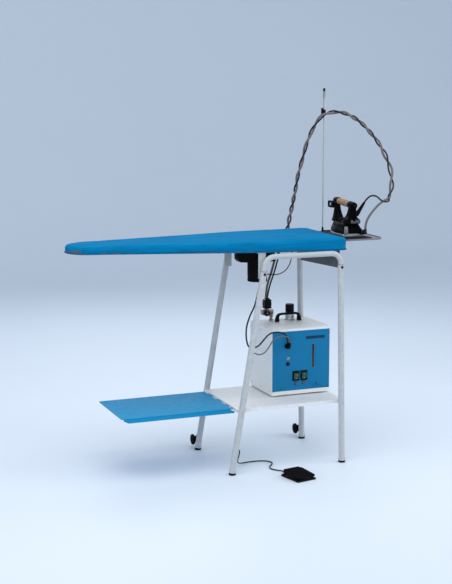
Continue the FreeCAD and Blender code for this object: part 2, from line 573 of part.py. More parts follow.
deck = SOLE_Z + 54.2
front_post = post(252, deck, 40, 264, 1050, 15, 24, 12)
rear_post = post(158, deck, 48, 128, 1050, 26, 30, 13)
bridge = box(IRON_X - 16, IRON_X + 16, 170, 240, deck, deck + 22)
shellwork = join([front_post, rear_post, bridge])
front_cap = rod((IRON_X, 250, 1055), (IRON_X, 286, 1055), 14.2)
rear_cap = rod((IRON_X, 150, 1049), (IRON_X, 104, 1044), 14.2)
shellwork = join([shellwork, front_cap, rear_cap])
grip_zone = rod((IRON_X, 150, 1049), (IRON_X, 250, 1055), 13.6)
handle_frame = shellwork.cut(grip_zone)
parts["iron_cork_grip"] = rod((IRON_X, 150.1, 1049), (IRON_X, 249.9, 1055), 13.5)
guard = box(IRON_X - 13, IRON_X + 13, 284, 332, 1023, 1051)
guard = guard.cut(box(IRON_X - 20, IRON_X + 20, 300, 340, 1029, 1045))
handle_frame = handle_frame.fuse(guard)
parts["iron_handle_frame"] = handle_frame.cut(rod((IRON_X, 285.5, 1037), (IRON_X, 310, 1037), 4.05))
parts["steam_button"] = join([rod((IRON_X, 290.5, 1037), (IRON_X, 306, 1037), 4.0),
                              box(IRON_X - 9, IRON_X + 9, 306, 322, 1030.5, 1043.5)])
boot_a = V(108, 106, 1014)
boot_b = V(126.5, 78.6, 1063.5)
boot = Part.makeCone(9.0, 5.0, (boot_b - boot_a).Length, boot_a, boot_b - boot_a)
parts["cable_boot"] = boot.cut(shellwork)

# ---------------------------------------------------------------- foot pedal
pc, ps = math.cos(math.radians(PEDAL_TURN)), math.sin(math.radians(PEDAL_TURN))


def pedal_place(shape):
    shape.rotate(V(0, 0, 0), V(0, 0, 1), PEDAL_TURN)
    shape.translate(V(PEDAL[0], PEDAL[1], 0))
    return shape


base = box(-44, 44, -56, 56, 0, 7.2).cut(box(-41, 41, -53, 53, 3, 13))
ears = [box(-40.9, -37, 40, 50, 3, 20), box(37, 40.9, 40, 50, 3, 20)]
base = join([base] + ears).cut(rod((-50, 45, 15), (50, 45, 15), 2.05))
gland = rod((-6, 55, 7), (-6, 66, 7), 4.5)
parts["pedal_base"] = pedal_place(base.fuse(gland))
tread = prism([(-36.5, 50, 13), (-36.5, -55, 13), (-36.5, -55, 20), (-36.5, 50, 29)], (73, 0, 0))
tread = tread.fuse(prism([(-44, 37, 13), (-44, -55, 13), (-44, -55, 20), (-44, 37, 27.9)], (88, 0, 0)))
tread = tread.cut(box(-34, 34, -50, 36, 12, 17))
tread = tread.fuse(rod((-40, 45, 15), (40, 45, 15), 2.0))
parts["pedal_treadle"] = pedal_place(tread)
parts["pedal_spring"] = pedal_place(pipe((0, -20, 3), (0, -20, 17), 7.0, 5.5))

# ---------------------------------------------------------------- cords
gz_top = GLAND[1] + 15.8
steam_route = [(-180, 380, 640.4), (-177, 381, 688), (-150, 394, 742), (-124, 414, 800),
               (-92, 428, 862), (-62, 434, 924), (-52, 432, 990), (-42, 420, 1050),
               (-36, 408, 1116), (-28, 396, 1180), (-12, 386, 1246), (0, 374, 1310),
               (22, 356, 1372), (58, 338, 1414), (112, 306, 1424), (168, 266, 1398),
               (218, 232, 1346), (256, 200, 1286), (280, 170, 1218), (286, 148, 1154),
               (268, 128, 1100), (234, 110, 1066), (196, 98, 1044), (160, 92, 1010),
               (140.8, 92, 977), (140, 92, 952.4)]
parts["steam_hose"] = sweep(steam_route, 5.0, report="steam_hose")
iron_route = [(-186, 351, 643.8), (-176, 357, 688), (-138, 388, 744), (-112, 409, 800),
              (-80, 422, 862), (-50, 429, 924), (-40, 428, 990), (-30, 416, 1050),
              (-24, 404, 1116), (-16, 392, 1180), (0, 382, 1246), (12, 369, 1306),
              (34, 344, 1372), (62, 324, 1420), (112, 292, 1432), (174, 260, 1410),
              (227, 237, 1354), (266, 205, 1292), (291, 173, 1221), (300, 154, 1150),
              (291, 136, 1092), (268, 110, 1074), (238, 88, 1058), (198, 66, 1068),
              (167, 56, 1093), (136.4, 63.9, 1090), (126.5, 78.6, 1063.5)]
parts["iron_cable"] = sweep(iron_route, 3.5, report="iron_cable")
fan_route = [(gx - 4, by0 - 16, gz_top), (gx - 7, by0 - 18, 508), (gx - 22, 116, 532),
             (gx - 56, 108, 545), (gx - 96, 105, 543), (gx - 128, 90, 522), (gx - 162, 60, 505),
             (gx - 198, 30, 503), (-410, 20, 508), (-419, 24, 542), (-417, 30, 588),
             (-400, 34, 634), (-380, 34, 668), (-372, 28, 706), (-364, 24, 750),
             (-352, 36, 790), (-336, 78, 822), (-324, 146, 846)]
parts["fan_cable"] = sweep(fan_route, 3.25, report="fan_cable")
grey_route = [(gx + 4, by0 - 17, gz_top), (gx + 3, by0 - 22, 504), (gx - 10, 108, 520),
              (gx - 48, 98, 530), (gx - 84, 94, 521), (gx - 104, 86, 494), (gx - 134, 66, 472),
              (gx - 168, 42, 470), (gx - 196, 24, 483), (-395.2, 13.8, 490)]
parts["pedal_cable_upper"] = sweep(grey_route, 2.5, report="pedal_cable_upper")
floor_route = [(-459.2, 9.6, 97.9), (-448, 20, 92), (-443, 34, 72), (-443, 50, 48), (-436, 74, 26),
               (-414, 102, 10), (-378, 128, 3.5), (-330, 134, 2.5), (-288, 122, 2.5),
               (-272, 92, 2.5), (-288, 62, 2.5), (-312, 36, 2.5), (-314, 4, 2.5),
               (-296, -22, 3), (-283, -44, 5), (-277.6, -68.6, 7)]
parts["pedal_cable_lower"] = sweep(floor_route, 2.5, report="pedal_cable_lower")
arc_route = [(-184, 104, board_under(-184) - 0.2), (-187, 103, 850), (-197, 102, 818),
             (-217, 106, 792), (-240, 124, 778), (-257, 148, 776), (-270.4, 166.4, 776)]
parts["board_cable"] = sweep(arc_route, 2.0, report="board_cable")
grommets = [
    rod((-400.5, 8.5, 490), (-396, 13, 490), 4.5).cut(leg_solid("left", 0, TUBE_R, 400, 600)),
    rod((-466, 5.0, 99), (-460, 9, 98), 4.5).cut(leg_solid("left", 0, TUBE_R, 40, 160))]
parts["leg_trim"] = group(leg_trim + grommets)

# ---------------------------------------------------------------- export
CORDS = ("steam_hose", "iron_cable", "fan_cable", "pedal_cable_upper", "pedal_cable_lower", "board_cable")
os.makedirs("parts", exist_ok=True)
whole = FreeCAD.BoundBox()
for node, shape in parts.items():
    shape.translate(SHIFT)
    if not shape.isValid():
        print("not valid:", node)
    if node not in CORDS:
        whole.add(shape.optimalBoundingBox(False))
    shape.exportStep("parts/%s.step" % node)
print(len(parts), "nodes")
print("box without cords  x %.1f %.1f  y %.1f %.1f  z %.1f %.1f"
      % (whole.XMin, whole.XMax, whole.YMin, whole.YMax, whole.ZMin, whole.ZMax))
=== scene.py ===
import json
import math

import bmesh
import bpy
from mathutils import Matrix, Vector, kdtree, noise


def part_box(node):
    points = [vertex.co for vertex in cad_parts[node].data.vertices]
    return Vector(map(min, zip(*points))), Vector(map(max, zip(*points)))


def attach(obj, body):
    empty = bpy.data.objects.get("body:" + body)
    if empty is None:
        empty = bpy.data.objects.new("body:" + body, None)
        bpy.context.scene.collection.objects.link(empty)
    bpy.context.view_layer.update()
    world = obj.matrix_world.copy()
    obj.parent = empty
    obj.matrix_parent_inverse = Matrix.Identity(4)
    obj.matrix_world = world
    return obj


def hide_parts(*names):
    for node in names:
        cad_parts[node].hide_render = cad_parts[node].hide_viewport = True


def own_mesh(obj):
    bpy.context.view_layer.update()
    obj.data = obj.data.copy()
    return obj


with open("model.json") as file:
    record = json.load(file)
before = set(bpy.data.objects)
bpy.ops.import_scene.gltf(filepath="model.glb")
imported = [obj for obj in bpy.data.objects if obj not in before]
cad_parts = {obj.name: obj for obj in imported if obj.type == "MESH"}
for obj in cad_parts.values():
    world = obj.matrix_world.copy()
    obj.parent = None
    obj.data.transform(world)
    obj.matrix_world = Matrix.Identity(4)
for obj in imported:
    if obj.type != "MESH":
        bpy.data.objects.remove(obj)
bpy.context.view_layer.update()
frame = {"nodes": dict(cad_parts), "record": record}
NODES = frame["nodes"]

# The looks of an ironing station: padded board, tubular stand, steam boiler, iron and cords.
# Everything is in metres. Places given in millimetres are measured from the front right foot,
# with +X towards the flat end of the board and +Y towards the rear wheels.
FOOT = Vector(next(m["pos_m"] for m in frame["record"]["mounts"] if m["name"] == "floor_front_right"))
MM = 0.001
UP = Vector((0, 0, 1))


def at(x, y, z):
    """A place in the frame, from millimetres measured from the front right foot."""
    return FOOT + Vector((x, y, z)) * MM


# ------------------------------------------------------------------ camera
CAMERA_PLACE = (-1.9756, -4.9240, 1.6008)
CAMERA_TURN = (90 - 9.45, 0.0, -21.76)
CAMERA_LENS = 82.5

camera_data = bpy.data.cameras.new("camera")
camera_data.lens = CAMERA_LENS
camera_data.sensor_width = 36.0
camera_data.clip_end = 60.0
camera = bpy.data.objects.new("camera", camera_data)
camera.location = CAMERA_PLACE
camera.rotation_euler = [math.radians(a) for a in CAMERA_TURN]
bpy.context.scene.collection.objects.link(camera)
bpy.context.scene.camera = camera


# ------------------------------------------------------------------ materials
class Finish:
    """A node material put together from noise, waves and bumps in object space."""

    SOCKETS = {"coat_weight": "Coat Weight", "specular": "Specular IOR Level"}

    def __init__(self, name, rough=0.5, metal=0.0, **sockets):
        self.material = bpy.data.materials.new(name)
        self.material.use_nodes = True
        self.nodes = self.material.node_tree.nodes
        self.links = self.material.node_tree.links
        self.shader = self.nodes["Principled BSDF"]
        self.shader.inputs["Roughness"].default_value = rough
        self.shader.inputs["Metallic"].default_value = metal
        for socket, value in sockets.items():
            self.shader.inputs[self.SOCKETS[socket]].default_value = value
        self.place = self.nodes.new("ShaderNodeTexCoord").outputs["Object"]
        self.height = None

    def put(self, value, socket):
        if isinstance(value, (int, float, tuple)):
            socket.default_value = value
        else:
            self.links.new(value, socket)

    def stretched(self, scale, turn=(0, 0, 0)):
        node = self.nodes.new("ShaderNodeMapping")
        node.inputs["Scale"].default_value = scale
        node.inputs["Rotation"].default_value = turn
        self.links.new(self.place, node.inputs["Vector"])
        return node.outputs["Vector"]

    def noise(self, scale, detail=2.0, vector=None):
        node = self.nodes.new("ShaderNodeTexNoise")
        node.inputs["Scale"].default_value = scale
        node.inputs["Detail"].default_value = detail
        self.links.new(vector or self.place, node.inputs["Vector"])
        return node.outputs["Fac"]

    def cells(self, scale, feature="F1", vector=None):
        node = self.nodes.new("ShaderNodeTexVoronoi")
        node.feature = feature
        node.inputs["Scale"].default_value = scale
        self.links.new(vector or self.place, node.inputs["Vector"])
        return node.outputs["Distance"]

    def wave(self, scale, direction="X", vector=None):
        node = self.nodes.new("ShaderNodeTexWave")
        node.bands_direction = direction
        node.inputs["Scale"].default_value = scale
        node.inputs["Distortion"].default_value = 0.0
        self.links.new(vector or self.place, node.inputs["Vector"])
        return node.outputs["Fac"]

    def math(self, operation, a, b=0.0):
        node = self.nodes.new("ShaderNodeMath")
        node.operation = operation
        self.put(a, node.inputs[0])
        self.put(b, node.inputs[1])
        return node.outputs[0]

    def span(self, value, low, high, to_low=0.0, to_high=1.0):
        node = self.nodes.new("ShaderNodeMapRange")
        self.put(value, node.inputs["Value"])
        for socket, number in (("From Min", low), ("From Max", high), ("To Min", to_low),
                               ("To Max", to_high)):
            node.inputs[socket].default_value = number
        return node.outputs["Result"]

    def mix(self, share, a, b):
        node = self.nodes.new("ShaderNodeMix")
        node.data_type = "RGBA"
        self.put(share, node.inputs["Factor"])
        self.put(a, node.inputs["A"])
        self.put(b, node.inputs["B"])
        return node.outputs["Result"]

    def edges(self, low=0.52, high=0.62):
        """0 on flats, 1 on outward edges."""
        return self.span(self.nodes.new("ShaderNodeNewGeometry").outputs["Pointiness"], low, high)

    def colour(self, value):
        self.put(value, self.shader.inputs["Base Color"])

    def roughness(self, value):
        self.put(value, self.shader.inputs["Roughness"])

    def bump(self, height, depth, strength=0.6):
        node = self.nodes.new("ShaderNodeBump")
        node.inputs["Distance"].default_value = depth
        node.inputs["Strength"].default_value = strength
        self.put(height, node.inputs["Height"])
        if self.height is not None:
            self.links.new(self.height, node.inputs["Normal"])
        self.height = node.outputs["Normal"]
        self.links.new(self.height, self.shader.inputs["Normal"])


def shade(colour, factor):
    return tuple(min(1.0, c * factor) for c in colour[:3]) + (1.0,)


def painted(name, colour, rough=0.4, peel=700.0, depth=0.00004, tone=0.07, wear=0.35, worn=None, **sockets):
    """Powder coat: fine orange peel, slow drift of tone, fine dark specks of dust, rubbed edges."""
    f = Finish(name, rough, **sockets)
    base = f.mix(f.noise(5.0, 3.0), shade(colour, 1 - tone), shade(colour, 1 + tone))
    speck = f.span(f.noise(2300.0, 1.0), 0.60, 0.72, 0.0, 0.25)
    base = f.mix(speck, base, shade(colour, 0.72))
    rub = f.math("MULTIPLY", f.edges(), f.span(f.noise(60.0, 3.0), 0.42, 0.68, 0.0, wear))
    f.colour(f.mix(rub, base, worn or shade(colour, 1.25)))
    f.roughness(f.span(f.noise(38.0, 4.0), 0.3, 0.7, rough - 0.06, rough + 0.08))
    f.bump(f.noise(peel, 2.0), depth)
    return f.material


def moulded(name, colour, rough=0.45, grain=1500.0, depth=0.00005, tone=0.18, dust=0.10, **sockets):
    """Moulded plastic or rubber: spark-eroded grain, faint greasy patches, patches of dust."""
    f = Finish(name, rough, **sockets)
    base = f.mix(f.noise(24.0, 3.0), shade(colour, 1 - tone), shade(colour, 1 + tone))
    pale = tuple(c * 0.8 + 0.10 for c in colour[:3]) + (1.0,)
    f.colour(f.mix(f.span(f.noise(120.0, 5.0), 0.55, 0.78, 0.0, dust), base, pale))
    f.roughness(f.span(f.noise(55.0, 3.0), 0.3, 0.7, rough - 0.08, rough + 0.10))
    f.bump(f.cells(grain), depth, 0.5)
    return f.material


def metal(name, colour, rough=0.3, along=(1, 1, 60), scale=900.0, tone=0.12, **sockets):
    """Drawn or ground metal: fine lines across 'along' and stains."""
    f = Finish(name, rough, 1.0, **sockets)
    lines = f.noise(scale, 2.0, f.stretched(along))
    base = f.mix(f.noise(18.0, 4.0), shade(colour, 1 - tone), shade(colour, 1 + tone))
    f.colour(f.mix(f.math("MULTIPLY", lines, 0.35), base, shade(colour, 0.72)))
    f.roughness(f.span(f.math("ADD", f.math("MULTIPLY", lines, 0.5),
                              f.math("MULTIPLY", f.noise(45.0, 3.0), 0.5)),
                       0.3, 0.7, rough - 0.08, rough + 0.14))
    f.bump(lines, 0.00002, 0.4)
    return f.material


def woven(name, colour, pitch=0.0009, tone=0.10, rough=0.86, depth=0.00012, drag_streaks_and_under_shade=False):
    """Plain weave cotton: two thread directions, slubs and fading; the streak switch adds drag streaks along
    it and painted shade on the faces turned downwards.
    """
    f = Finish(name, rough)
    f.shader.inputs["Specular IOR Level"].default_value = 0.03
    bands = 0.314 / pitch
    threads = f.math("MULTIPLY", f.wave(bands, "X"), f.wave(bands, "Y"))
    threads = f.math("ADD", threads, f.math("MULTIPLY", f.wave(bands, "Z"), 0.5))
    fade_and_under_shade = f.mix(f.noise(4.0, 4.0), shade(colour, 1 - tone), shade(colour, 1 + tone))
    if drag_streaks_and_under_shade:
        streak = f.noise(1.0, 3.0, f.stretched((6, 55, 120)))
        fade_and_under_shade = f.mix(f.span(streak, 0.50, 0.72, 0.0, 0.5), fade_and_under_shade, shade(colour, 1.35))
        fade_and_under_shade = f.mix(f.span(streak, 0.50, 0.30, 0.0, 0.5), fade_and_under_shade, shade(colour, 0.68))
        # Painted shade: faces turned downwards, as under the nose's rolled edge, are darkened towards near
        # black.
        under_shade_normal = f.nodes.new("ShaderNodeSeparateXYZ")
        f.links.new(f.nodes.new("ShaderNodeNewGeometry").outputs["Normal"], under_shade_normal.inputs[0])
        fade_and_under_shade = f.mix(f.span(under_shade_normal.outputs["Z"], -0.25, -0.8, 0.0, 0.85), fade_and_under_shade, shade(colour, 0.12))
        f.bump(streak, 0.0022, 0.6)
    slub = f.noise(300.0, 2.0, f.stretched((1, 8, 8)))
    base = f.mix(f.span(slub, 0.5, 0.75, 0.0, 0.35), fade_and_under_shade, shade(colour, 1.35))
    f.colour(f.mix(f.span(threads, 0.0, 1.2, 0.35, 0.0), base, shade(colour, 0.6)))
    f.roughness(f.span(slub, 0.3, 0.7, rough - 0.05, rough + 0.06))
    f.bump(threads, depth, 0.5)
    f.bump(f.noise(35.0, 3.0), 0.0008, 0.35)
    return f.material


def felted(name, colour):
    f = Finish(name, 0.95)
    fibre = f.noise(900.0, 6.0, f.stretched((1, 3, 1)))
    f.colour(f.mix(fibre, shade(colour, 0.75), shade(colour, 1.15)))
    f.roughness(f.span(fibre, 0.3, 0.7, 0.88, 1.0))
    f.bump(fibre, 0.0004)
    return f.material


def corked(name):
    f = Finish(name, 0.75)
    grain = f.cells(420.0)
    base = f.mix(f.noise(90.0, 5.0), (0.19, 0.095, 0.038, 1), (0.44, 0.26, 0.13, 1))
    dark = f.span(f.noise(330.0, 3.0), 0.60, 0.70, 0.0, 0.85)
    f.colour(f.mix(dark, base, (0.06, 0.03, 0.016, 1)))
    f.roughness(f.span(grain, 0.0, 0.8, 0.62, 0.85))
    f.bump(f.math("ADD", grain, f.noise(900.0, 3.0)), 0.0003, 0.7)
    return f.material


def braided(name, colour, pitch=0.0026, rough=0.85):
    """Textile braid over a hose, from the tube's own turn and length coordinates."""
    f = Finish(name, rough)
    f.shader.inputs["Sheen Weight"].default_value = 0.2
    uv = f.nodes.new("ShaderNodeUVMap")
    uv.uv_map = "along"
    split = f.nodes.new("ShaderNodeSeparateXYZ")
    f.links.new(uv.outputs["UV"], split.inputs[0])
    turn = f.math("MULTIPLY", split.outputs["X"], 12.0)
    length = f.math("DIVIDE", split.outputs["Y"], pitch * 2)
    left = f.math("PINGPONG", f.math("ADD", length, turn), 1.0)
    right = f.math("PINGPONG", f.math("SUBTRACT", length, turn), 1.0)
    plait = f.math("MAXIMUM", left, right)
    tone = f.mix(f.noise(30.0, 3.0), shade(colour, 0.85), shade(colour, 1.12))
    f.colour(f.mix(f.span(plait, 0.45, 1.0, 0.6, 0.0), tone, shade(colour, 0.42)))
    f.roughness(f.span(plait, 0.4, 1.0, rough + 0.08, rough - 0.08))
    f.bump(plait, 0.0004, 0.8)
    return f.material


def lens(name, colour, rough=0.2, glow=0.55):
    """Tinted translucent plastic with a facetted inside."""
    f = Finish(name, rough)
    f.shader.inputs["Transmission Weight"].default_value = 0.35
    f.shader.inputs["IOR"].default_value = 1.49
    f.shader.inputs["Coat Weight"].default_value = 0.4
    facets = f.cells(900.0)
    f.colour(f.mix(f.span(facets, 0.0, 0.9), shade(colour, glow), shade(colour, 1.25)))
    f.roughness(f.span(f.noise(200.0, 2.0), 0.3, 0.7, rough - 0.05, rough + 0.1))
    f.bump(facets, 0.0002, 0.4)
    return f.material


LOOKS = {
    "stand_paint": painted("stand_paint", (0.47, 0.49, 0.505), 0.36, worn=(0.66, 0.67, 0.68, 1),
                           specular=0.35),
    "cabinet_paint": painted("cabinet_paint", (0.80, 0.81, 0.80), 0.46, peel=420.0, depth=0.00008,
                             specular=0.35),
    "shelf_paint": painted("shelf_paint", (0.76, 0.77, 0.77), 0.44, peel=380.0, depth=0.00007, specular=0.3),
    "panel_blue": painted("panel_blue", (0.002, 0.175, 0.365), 0.42, tone=0.05, wear=0.15, specular=0.2),
    "dark_steel": painted("dark_steel", (0.0024, 0.0026, 0.0028), 0.5, tone=0.2, worn=(0.02, 0.02, 0.022, 1),
                          specular=0.05),
    "zinc": metal("zinc", (0.55, 0.56, 0.57), 0.32, (1, 1, 8)),
    # chamber_grey: the suction chamber's own dark grey, and also painted shade for the end plate under the
    # board's flat end, which sits in shadow.
    "chamber_grey": painted("chamber_grey", (0.10, 0.105, 0.115), 0.55, specular=0.25),
    "tray_blue": painted("tray_blue", (0.008, 0.255, 0.49), 0.5, tone=0.05, wear=0.2, specular=0.1),
    # The cover gets drag streaks and painted shade on its downward faces.
    "cover_cotton": woven("cover_cotton", (0.001, 0.180, 0.385), drag_streaks_and_under_shade=True),
    "hem_cord": woven("hem_cord", (0.002, 0.13, 0.28), 0.0011),
    "felt": felted("felt", (0.60, 0.58, 0.52)),
    "black_plastic": moulded("black_plastic", (0.0035, 0.0036, 0.004), 0.40, dust=0.015, specular=0.08),
    "black_rubber": moulded("black_rubber", (0.004, 0.004, 0.0045), 0.66, dust=0.03, specular=0.06),
    "silicone": moulded("silicone", (0.006, 0.006, 0.007), 0.62, 700.0, dust=0.06, specular=0.2),
    "rest_grey": painted("rest_grey", (0.17, 0.175, 0.18), 0.36, specular=0.35),
    "sole_alu": metal("sole_alu", (0.36, 0.37, 0.38), 0.36, (1, 50, 50)),
    "polished": metal("polished", (0.27, 0.275, 0.28), 0.34, (1, 30, 30)),
    "bakelite": moulded("bakelite", (0.0025, 0.0027, 0.0031), 0.34, 2200.0, 0.00001, dust=0.0, specular=0.02),
    "cork": corked("cork"),
    "brass_metal": metal("brass_metal", (0.33, 0.31, 0.27), 0.34, (1, 1, 6), tone=0.2),
    "stainless": metal("stainless", (0.50, 0.49, 0.48), 0.34, (60, 60, 1), tone=0.05),
    "green_rocker": lens("green_rocker", (0.004, 0.085, 0.035)),
    "orange_lens": lens("orange_lens", (0.42, 0.12, 0.02)),
    "yellow_lens": lens("yellow_lens", (0.50, 0.34, 0.08)),
    "gauge_glass": lens("gauge_glass", (0.004, 0.006, 0.009), 0.12, 0.8),
    "hose_braid": braided("hose_braid", (0.17, 0.155, 0.145)),
    "cable_black": moulded("cable_black", (0.005, 0.005, 0.0055), 0.48, 2600.0, dust=0.04, specular=0.3),
    "cable_grey": moulded("cable_grey", (0.12, 0.125, 0.13), 0.5, 2600.0, specular=0.3),
    "white_plastic": moulded("white_plastic", (0.62, 0.62, 0.60), 0.35, dust=0.0, tone=0.04),
    "red_plastic": moulded("red_plastic", (0.06, 0.012, 0.010), 0.35, dust=0.0, specular=0.3),
    "label_grey": painted("label_grey", (0.085, 0.09, 0.093), 0.42, specular=0.2),
    "mark_white": painted("mark_white", (0.62, 0.64, 0.62), 0.5),
    "joint_ring": moulded("joint_ring", (0.30, 0.315, 0.325), 0.5, specular=0.25),
    "black_oxide": metal("black_oxide", (0.035, 0.036, 0.038), 0.42, (1, 1, 6)),
    "chrome_ring": metal("chrome_ring", (0.60, 0.61, 0.62), 0.22, (1, 1, 1)),
    "window_rim": painted("window_rim", (0.06, 0.22, 0.38), 0.38, specular=0.25),
    "dark_ink": painted("dark_ink", (0.004, 0.035, 0.09), 0.5, specular=0.2),
}


# ------------------------------------------------------------------ mesh building
def across(direction):
    """Two unit vectors square to a direction."""
    d = Vector(direction).normalized()
    side = d.cross(UP if abs(d.z) < 0.9 else Vector((1, 0, 0))).normalized()
    return side, d.cross(side).normalized()


def circle(centre, direction, radius, count=32, shape=None):
    """Ring of points round a centre. 'shape' gives the radius factor at an angle."""
    u, w = across(direction)
    ring = []
    for i in range(count):
        a = 2 * math.pi * i / count
        r = radius * (shape(a) if shape else 1.0)
        ring.append(Vector(centre) + u * (r * math.cos(a)) + w * (r * math.sin(a)))
    return ring


def parallel_frames(path):
    """Unit tangent and two normals at each point of a path, turning as little as possible."""
    frames = []
    normal = None
    for i, p in enumerate(path):
        tangent = (path[min(i + 1, len(path) - 1)] - path[max(i - 1, 0)]).normalized()
        if normal is None:
            normal = across(tangent)[0]
        normal = (normal - tangent * normal.dot(tangent)).normalized()
        frames.append((tangent, normal, tangent.cross(normal)))
    return frames


class Shell:
    """Collects the vertices and faces of one piece."""

    def __init__(self):
        self.bm = bmesh.new()
        self.uv = self.bm.loops.layers.uv.new("along")

    def ring(self, points):
        return [self.bm.verts.new(p) for p in points]

    def face(self, verts):
        if len(set(verts)) > 2:
            return self.bm.faces.new(verts)
        return None

    def bridge(self, a, b, closed=True, lengths=(0.0, 0.0)):
        n = len(a)
        for i in range(n if closed else n - 1):
            j = (i + 1) % n
            f = self.face([a[i], a[j], b[j], b[i]])
            if f:
                for loop, (u, v) in zip(f.loops, ((i, 0), (i + 1, 0), (i + 1, 1), (i, 1))):
                    loop[self.uv].uv = (u / n, lengths[v])

    def loft(self, rings, caps=True, lengths=None):
        """Skin over a list of rings of points, each with the same count."""
        made = [self.ring(r) for r in rings]
        for k in range(len(made) - 1):
            span = (lengths[k], lengths[k + 1]) if lengths else (0.0, 0.0)
            self.bridge(made[k], made[k + 1], lengths=span)
        if caps:
            self.face(made[0])
            self.face(made[-1])
        return self

    def lathe(self, centre, direction, profile, count=40, shape=None):
        """Turned solid: profile is (radius, distance along the direction)."""
        d = Vector(direction).normalized()
        rings = [circle(Vector(centre) + d * h, d, max(r, 1e-5), count, shape and shape(r)) for r,
                 h in profile]
        return self.loft(rings)

    def tube(self, path, radius, count=14, caps=True, shape=None):
        """Tube along a path. radius is a number or a function of the share of its length."""
        path = [Vector(p) for p in path]
        lengths = [0.0]
        for a, b in zip(path, path[1:]):
            lengths.append(lengths[-1] + (b - a).length)
        rings = []
        for p, s, (t, u, w) in zip(path, lengths, parallel_frames(path)):
            r = radius(s / lengths[-1]) if callable(radius) else radius
            rings.append([p + (u * math.cos(a) + w * math.sin(a)) * r * (shape(a, s) if shape else 1.0)
                          for a in (2 * math.pi * i / count for i in range(count))])
        return self.loft(rings, caps, lengths)

    def block(self, low, high, radius=0.001, steps=2, turn=None):
        """Box with rounded edges. 'turn' is a matrix put on it afterwards."""
        low, high = Vector(low), Vector(high)
        size, centre = high - low, (high + low) / 2
        part = bmesh.new()
        bmesh.ops.create_cube(part, size=1.0)
        for v in part.verts:
            v.co = Vector(v.co[i] * size[i] + centre[i] for i in range(3))
        radius = min(radius, 0.49 * min(size))
        bmesh.ops.bevel(part, geom=part.edges[:], offset=radius, segments=steps, profile=0.5, affect="EDGES")
        self.add(part, turn)
        return self

    def add(self, part, turn=None):
        part.verts.index_update()
        new = [self.bm.verts.new(turn @ v.co if turn else v.co) for v in part.verts]
        for f in part.faces:
            self.face([new[v.index] for v in f.verts])
        part.free()

    def plate(self, outline, direction, thickness, radius=0.001, steps=3):
        """Slab over a closed outline of points, with rounded rims on both faces."""
        d = Vector(direction).normalized()
        rings = []
        for k in range(steps + 1):
            a = math.pi / 2 * k / steps
            rings.append((radius * (1 - math.sin(a)), radius * (1 - math.cos(a))))
        rings += [(inset, thickness - rise) for inset, rise in reversed(rings)]
        return self.loft([[p + d * rise for p in inset_ring(outline, d, inset)] for inset, rise in rings])

    def make(self, name, body, look, replaces=(), sharp=32.0, bevel=0.0, subdivide=0):
        """Turns what was collected into an object that rides on a body."""
        bmesh.ops.remove_doubles(self.bm, verts=self.bm.verts[:], dist=1e-7)
        bmesh.ops.recalc_face_normals(self.bm, faces=self.bm.faces[:])
        mesh = bpy.data.meshes.new(name)
        self.bm.to_mesh(mesh)
        self.bm.free()
        obj = bpy.data.objects.new(name, mesh)
        bpy.context.scene.collection.objects.link(obj)
        return dress(obj, body, look, replaces, sharp, bevel, subdivide)


def dress(obj, body, look, replaces=(), sharp=32.0, bevel=0.0, subdivide=0):
    """Smooth shading, finish, slot and body for a new piece."""
    mesh = obj.data
    mesh.materials.clear()
    mesh.materials.append(LOOKS[look])
    if obj.type == "MESH":
        mesh.polygons.foreach_set("use_smooth", [True] * len(mesh.polygons))
        mesh.set_sharp_from_angle(angle=math.radians(sharp))
    if bevel:
        rim = obj.modifiers.new("rim", "BEVEL")
        rim.width = bevel
        rim.segments = 2
        rim.limit_method = "ANGLE"
        rim.angle_limit = math.radians(40)
        rim.harden_normals = True
    if subdivide:
        fine = obj.modifiers.new("fine", "SUBSURF")
        fine.levels = fine.render_levels = subdivide
    if body:
        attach(obj, body)
    if replaces:
        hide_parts(*replaces)
    return obj


def inset_ring(ring, direction, distance):
    """A closed ring drawn in towards its own middle, square to its edges."""
    if abs(distance) < 1e-9:
        return list(ring)
    n = len(ring)
    centre = sum(ring, Vector()) / n
    out = []
    for i, p in enumerate(ring):
        a = (p - ring[i - 1]).normalized().cross(direction)
        b = (ring[(i + 1) % n] - p).normalized().cross(direction)
        normal = (a + b).normalized()
        if normal.dot(centre - p) < 0:
            normal = -normal
        out.append(p + normal * (distance / max(0.5, abs(normal.dot(a)))))
    return out


def rounded(corners, radius, steps=5):
    """Closed outline through corners, each rounded by a curve tangent to both sides."""
    out = []
    n = len(corners)
    radii = radius if isinstance(radius, (list, tuple)) else [radius] * n
    for i in range(n):
        p = Vector(corners[i])
        a, b = Vector(corners[i - 1]) - p, Vector(corners[(i + 1) % n]) - p
        start, end = p + a.normalized() * radii[i], p + b.normalized() * radii[i]
        for k in range(steps + 1):
            t = k / steps
            out.append(start * (1 - t) ** 2 + p * (2 * t * (1 - t)) + end * t ** 2)
    return out


def solids(node):
    """Boxes (low, high) of the separate solids in a CAD node, in order along X, then Y, then Z."""
    mesh = NODES[node].data
    group = {}
    parent = []

    def root(i):
        while parent[i] != i:
            parent[i] = parent[parent[i]]
            i = parent[i]
        return i

    ids = []
    for v in mesh.vertices:
        key = tuple(round(c, 6) for c in v.co)
        if key not in group:
            group[key] = len(parent)
            parent.append(len(parent))
        ids.append(group[key])
    for polygon in mesh.polygons:
        first = root(ids[polygon.vertices[0]])
        for i in polygon.vertices[1:]:
            parent[root(ids[i])] = first
    boxes = {}
    for key, i in group.items():
        low, high = boxes.setdefault(root(i), (Vector(key), Vector(key)))
        for c in range(3):
            low[c] = min(low[c], key[c])
            high[c] = max(high[c], key[c])
    return sorted(boxes.values(), key=lambda b: tuple(round(c, 3) for c in (b[0] + b[1]) / 2))


def hexagon(a):
    """Radius factor of a hexagon at an angle."""
    return math.cos(math.pi / 6) / math.cos((a % (math.pi / 3)) - math.pi / 6)


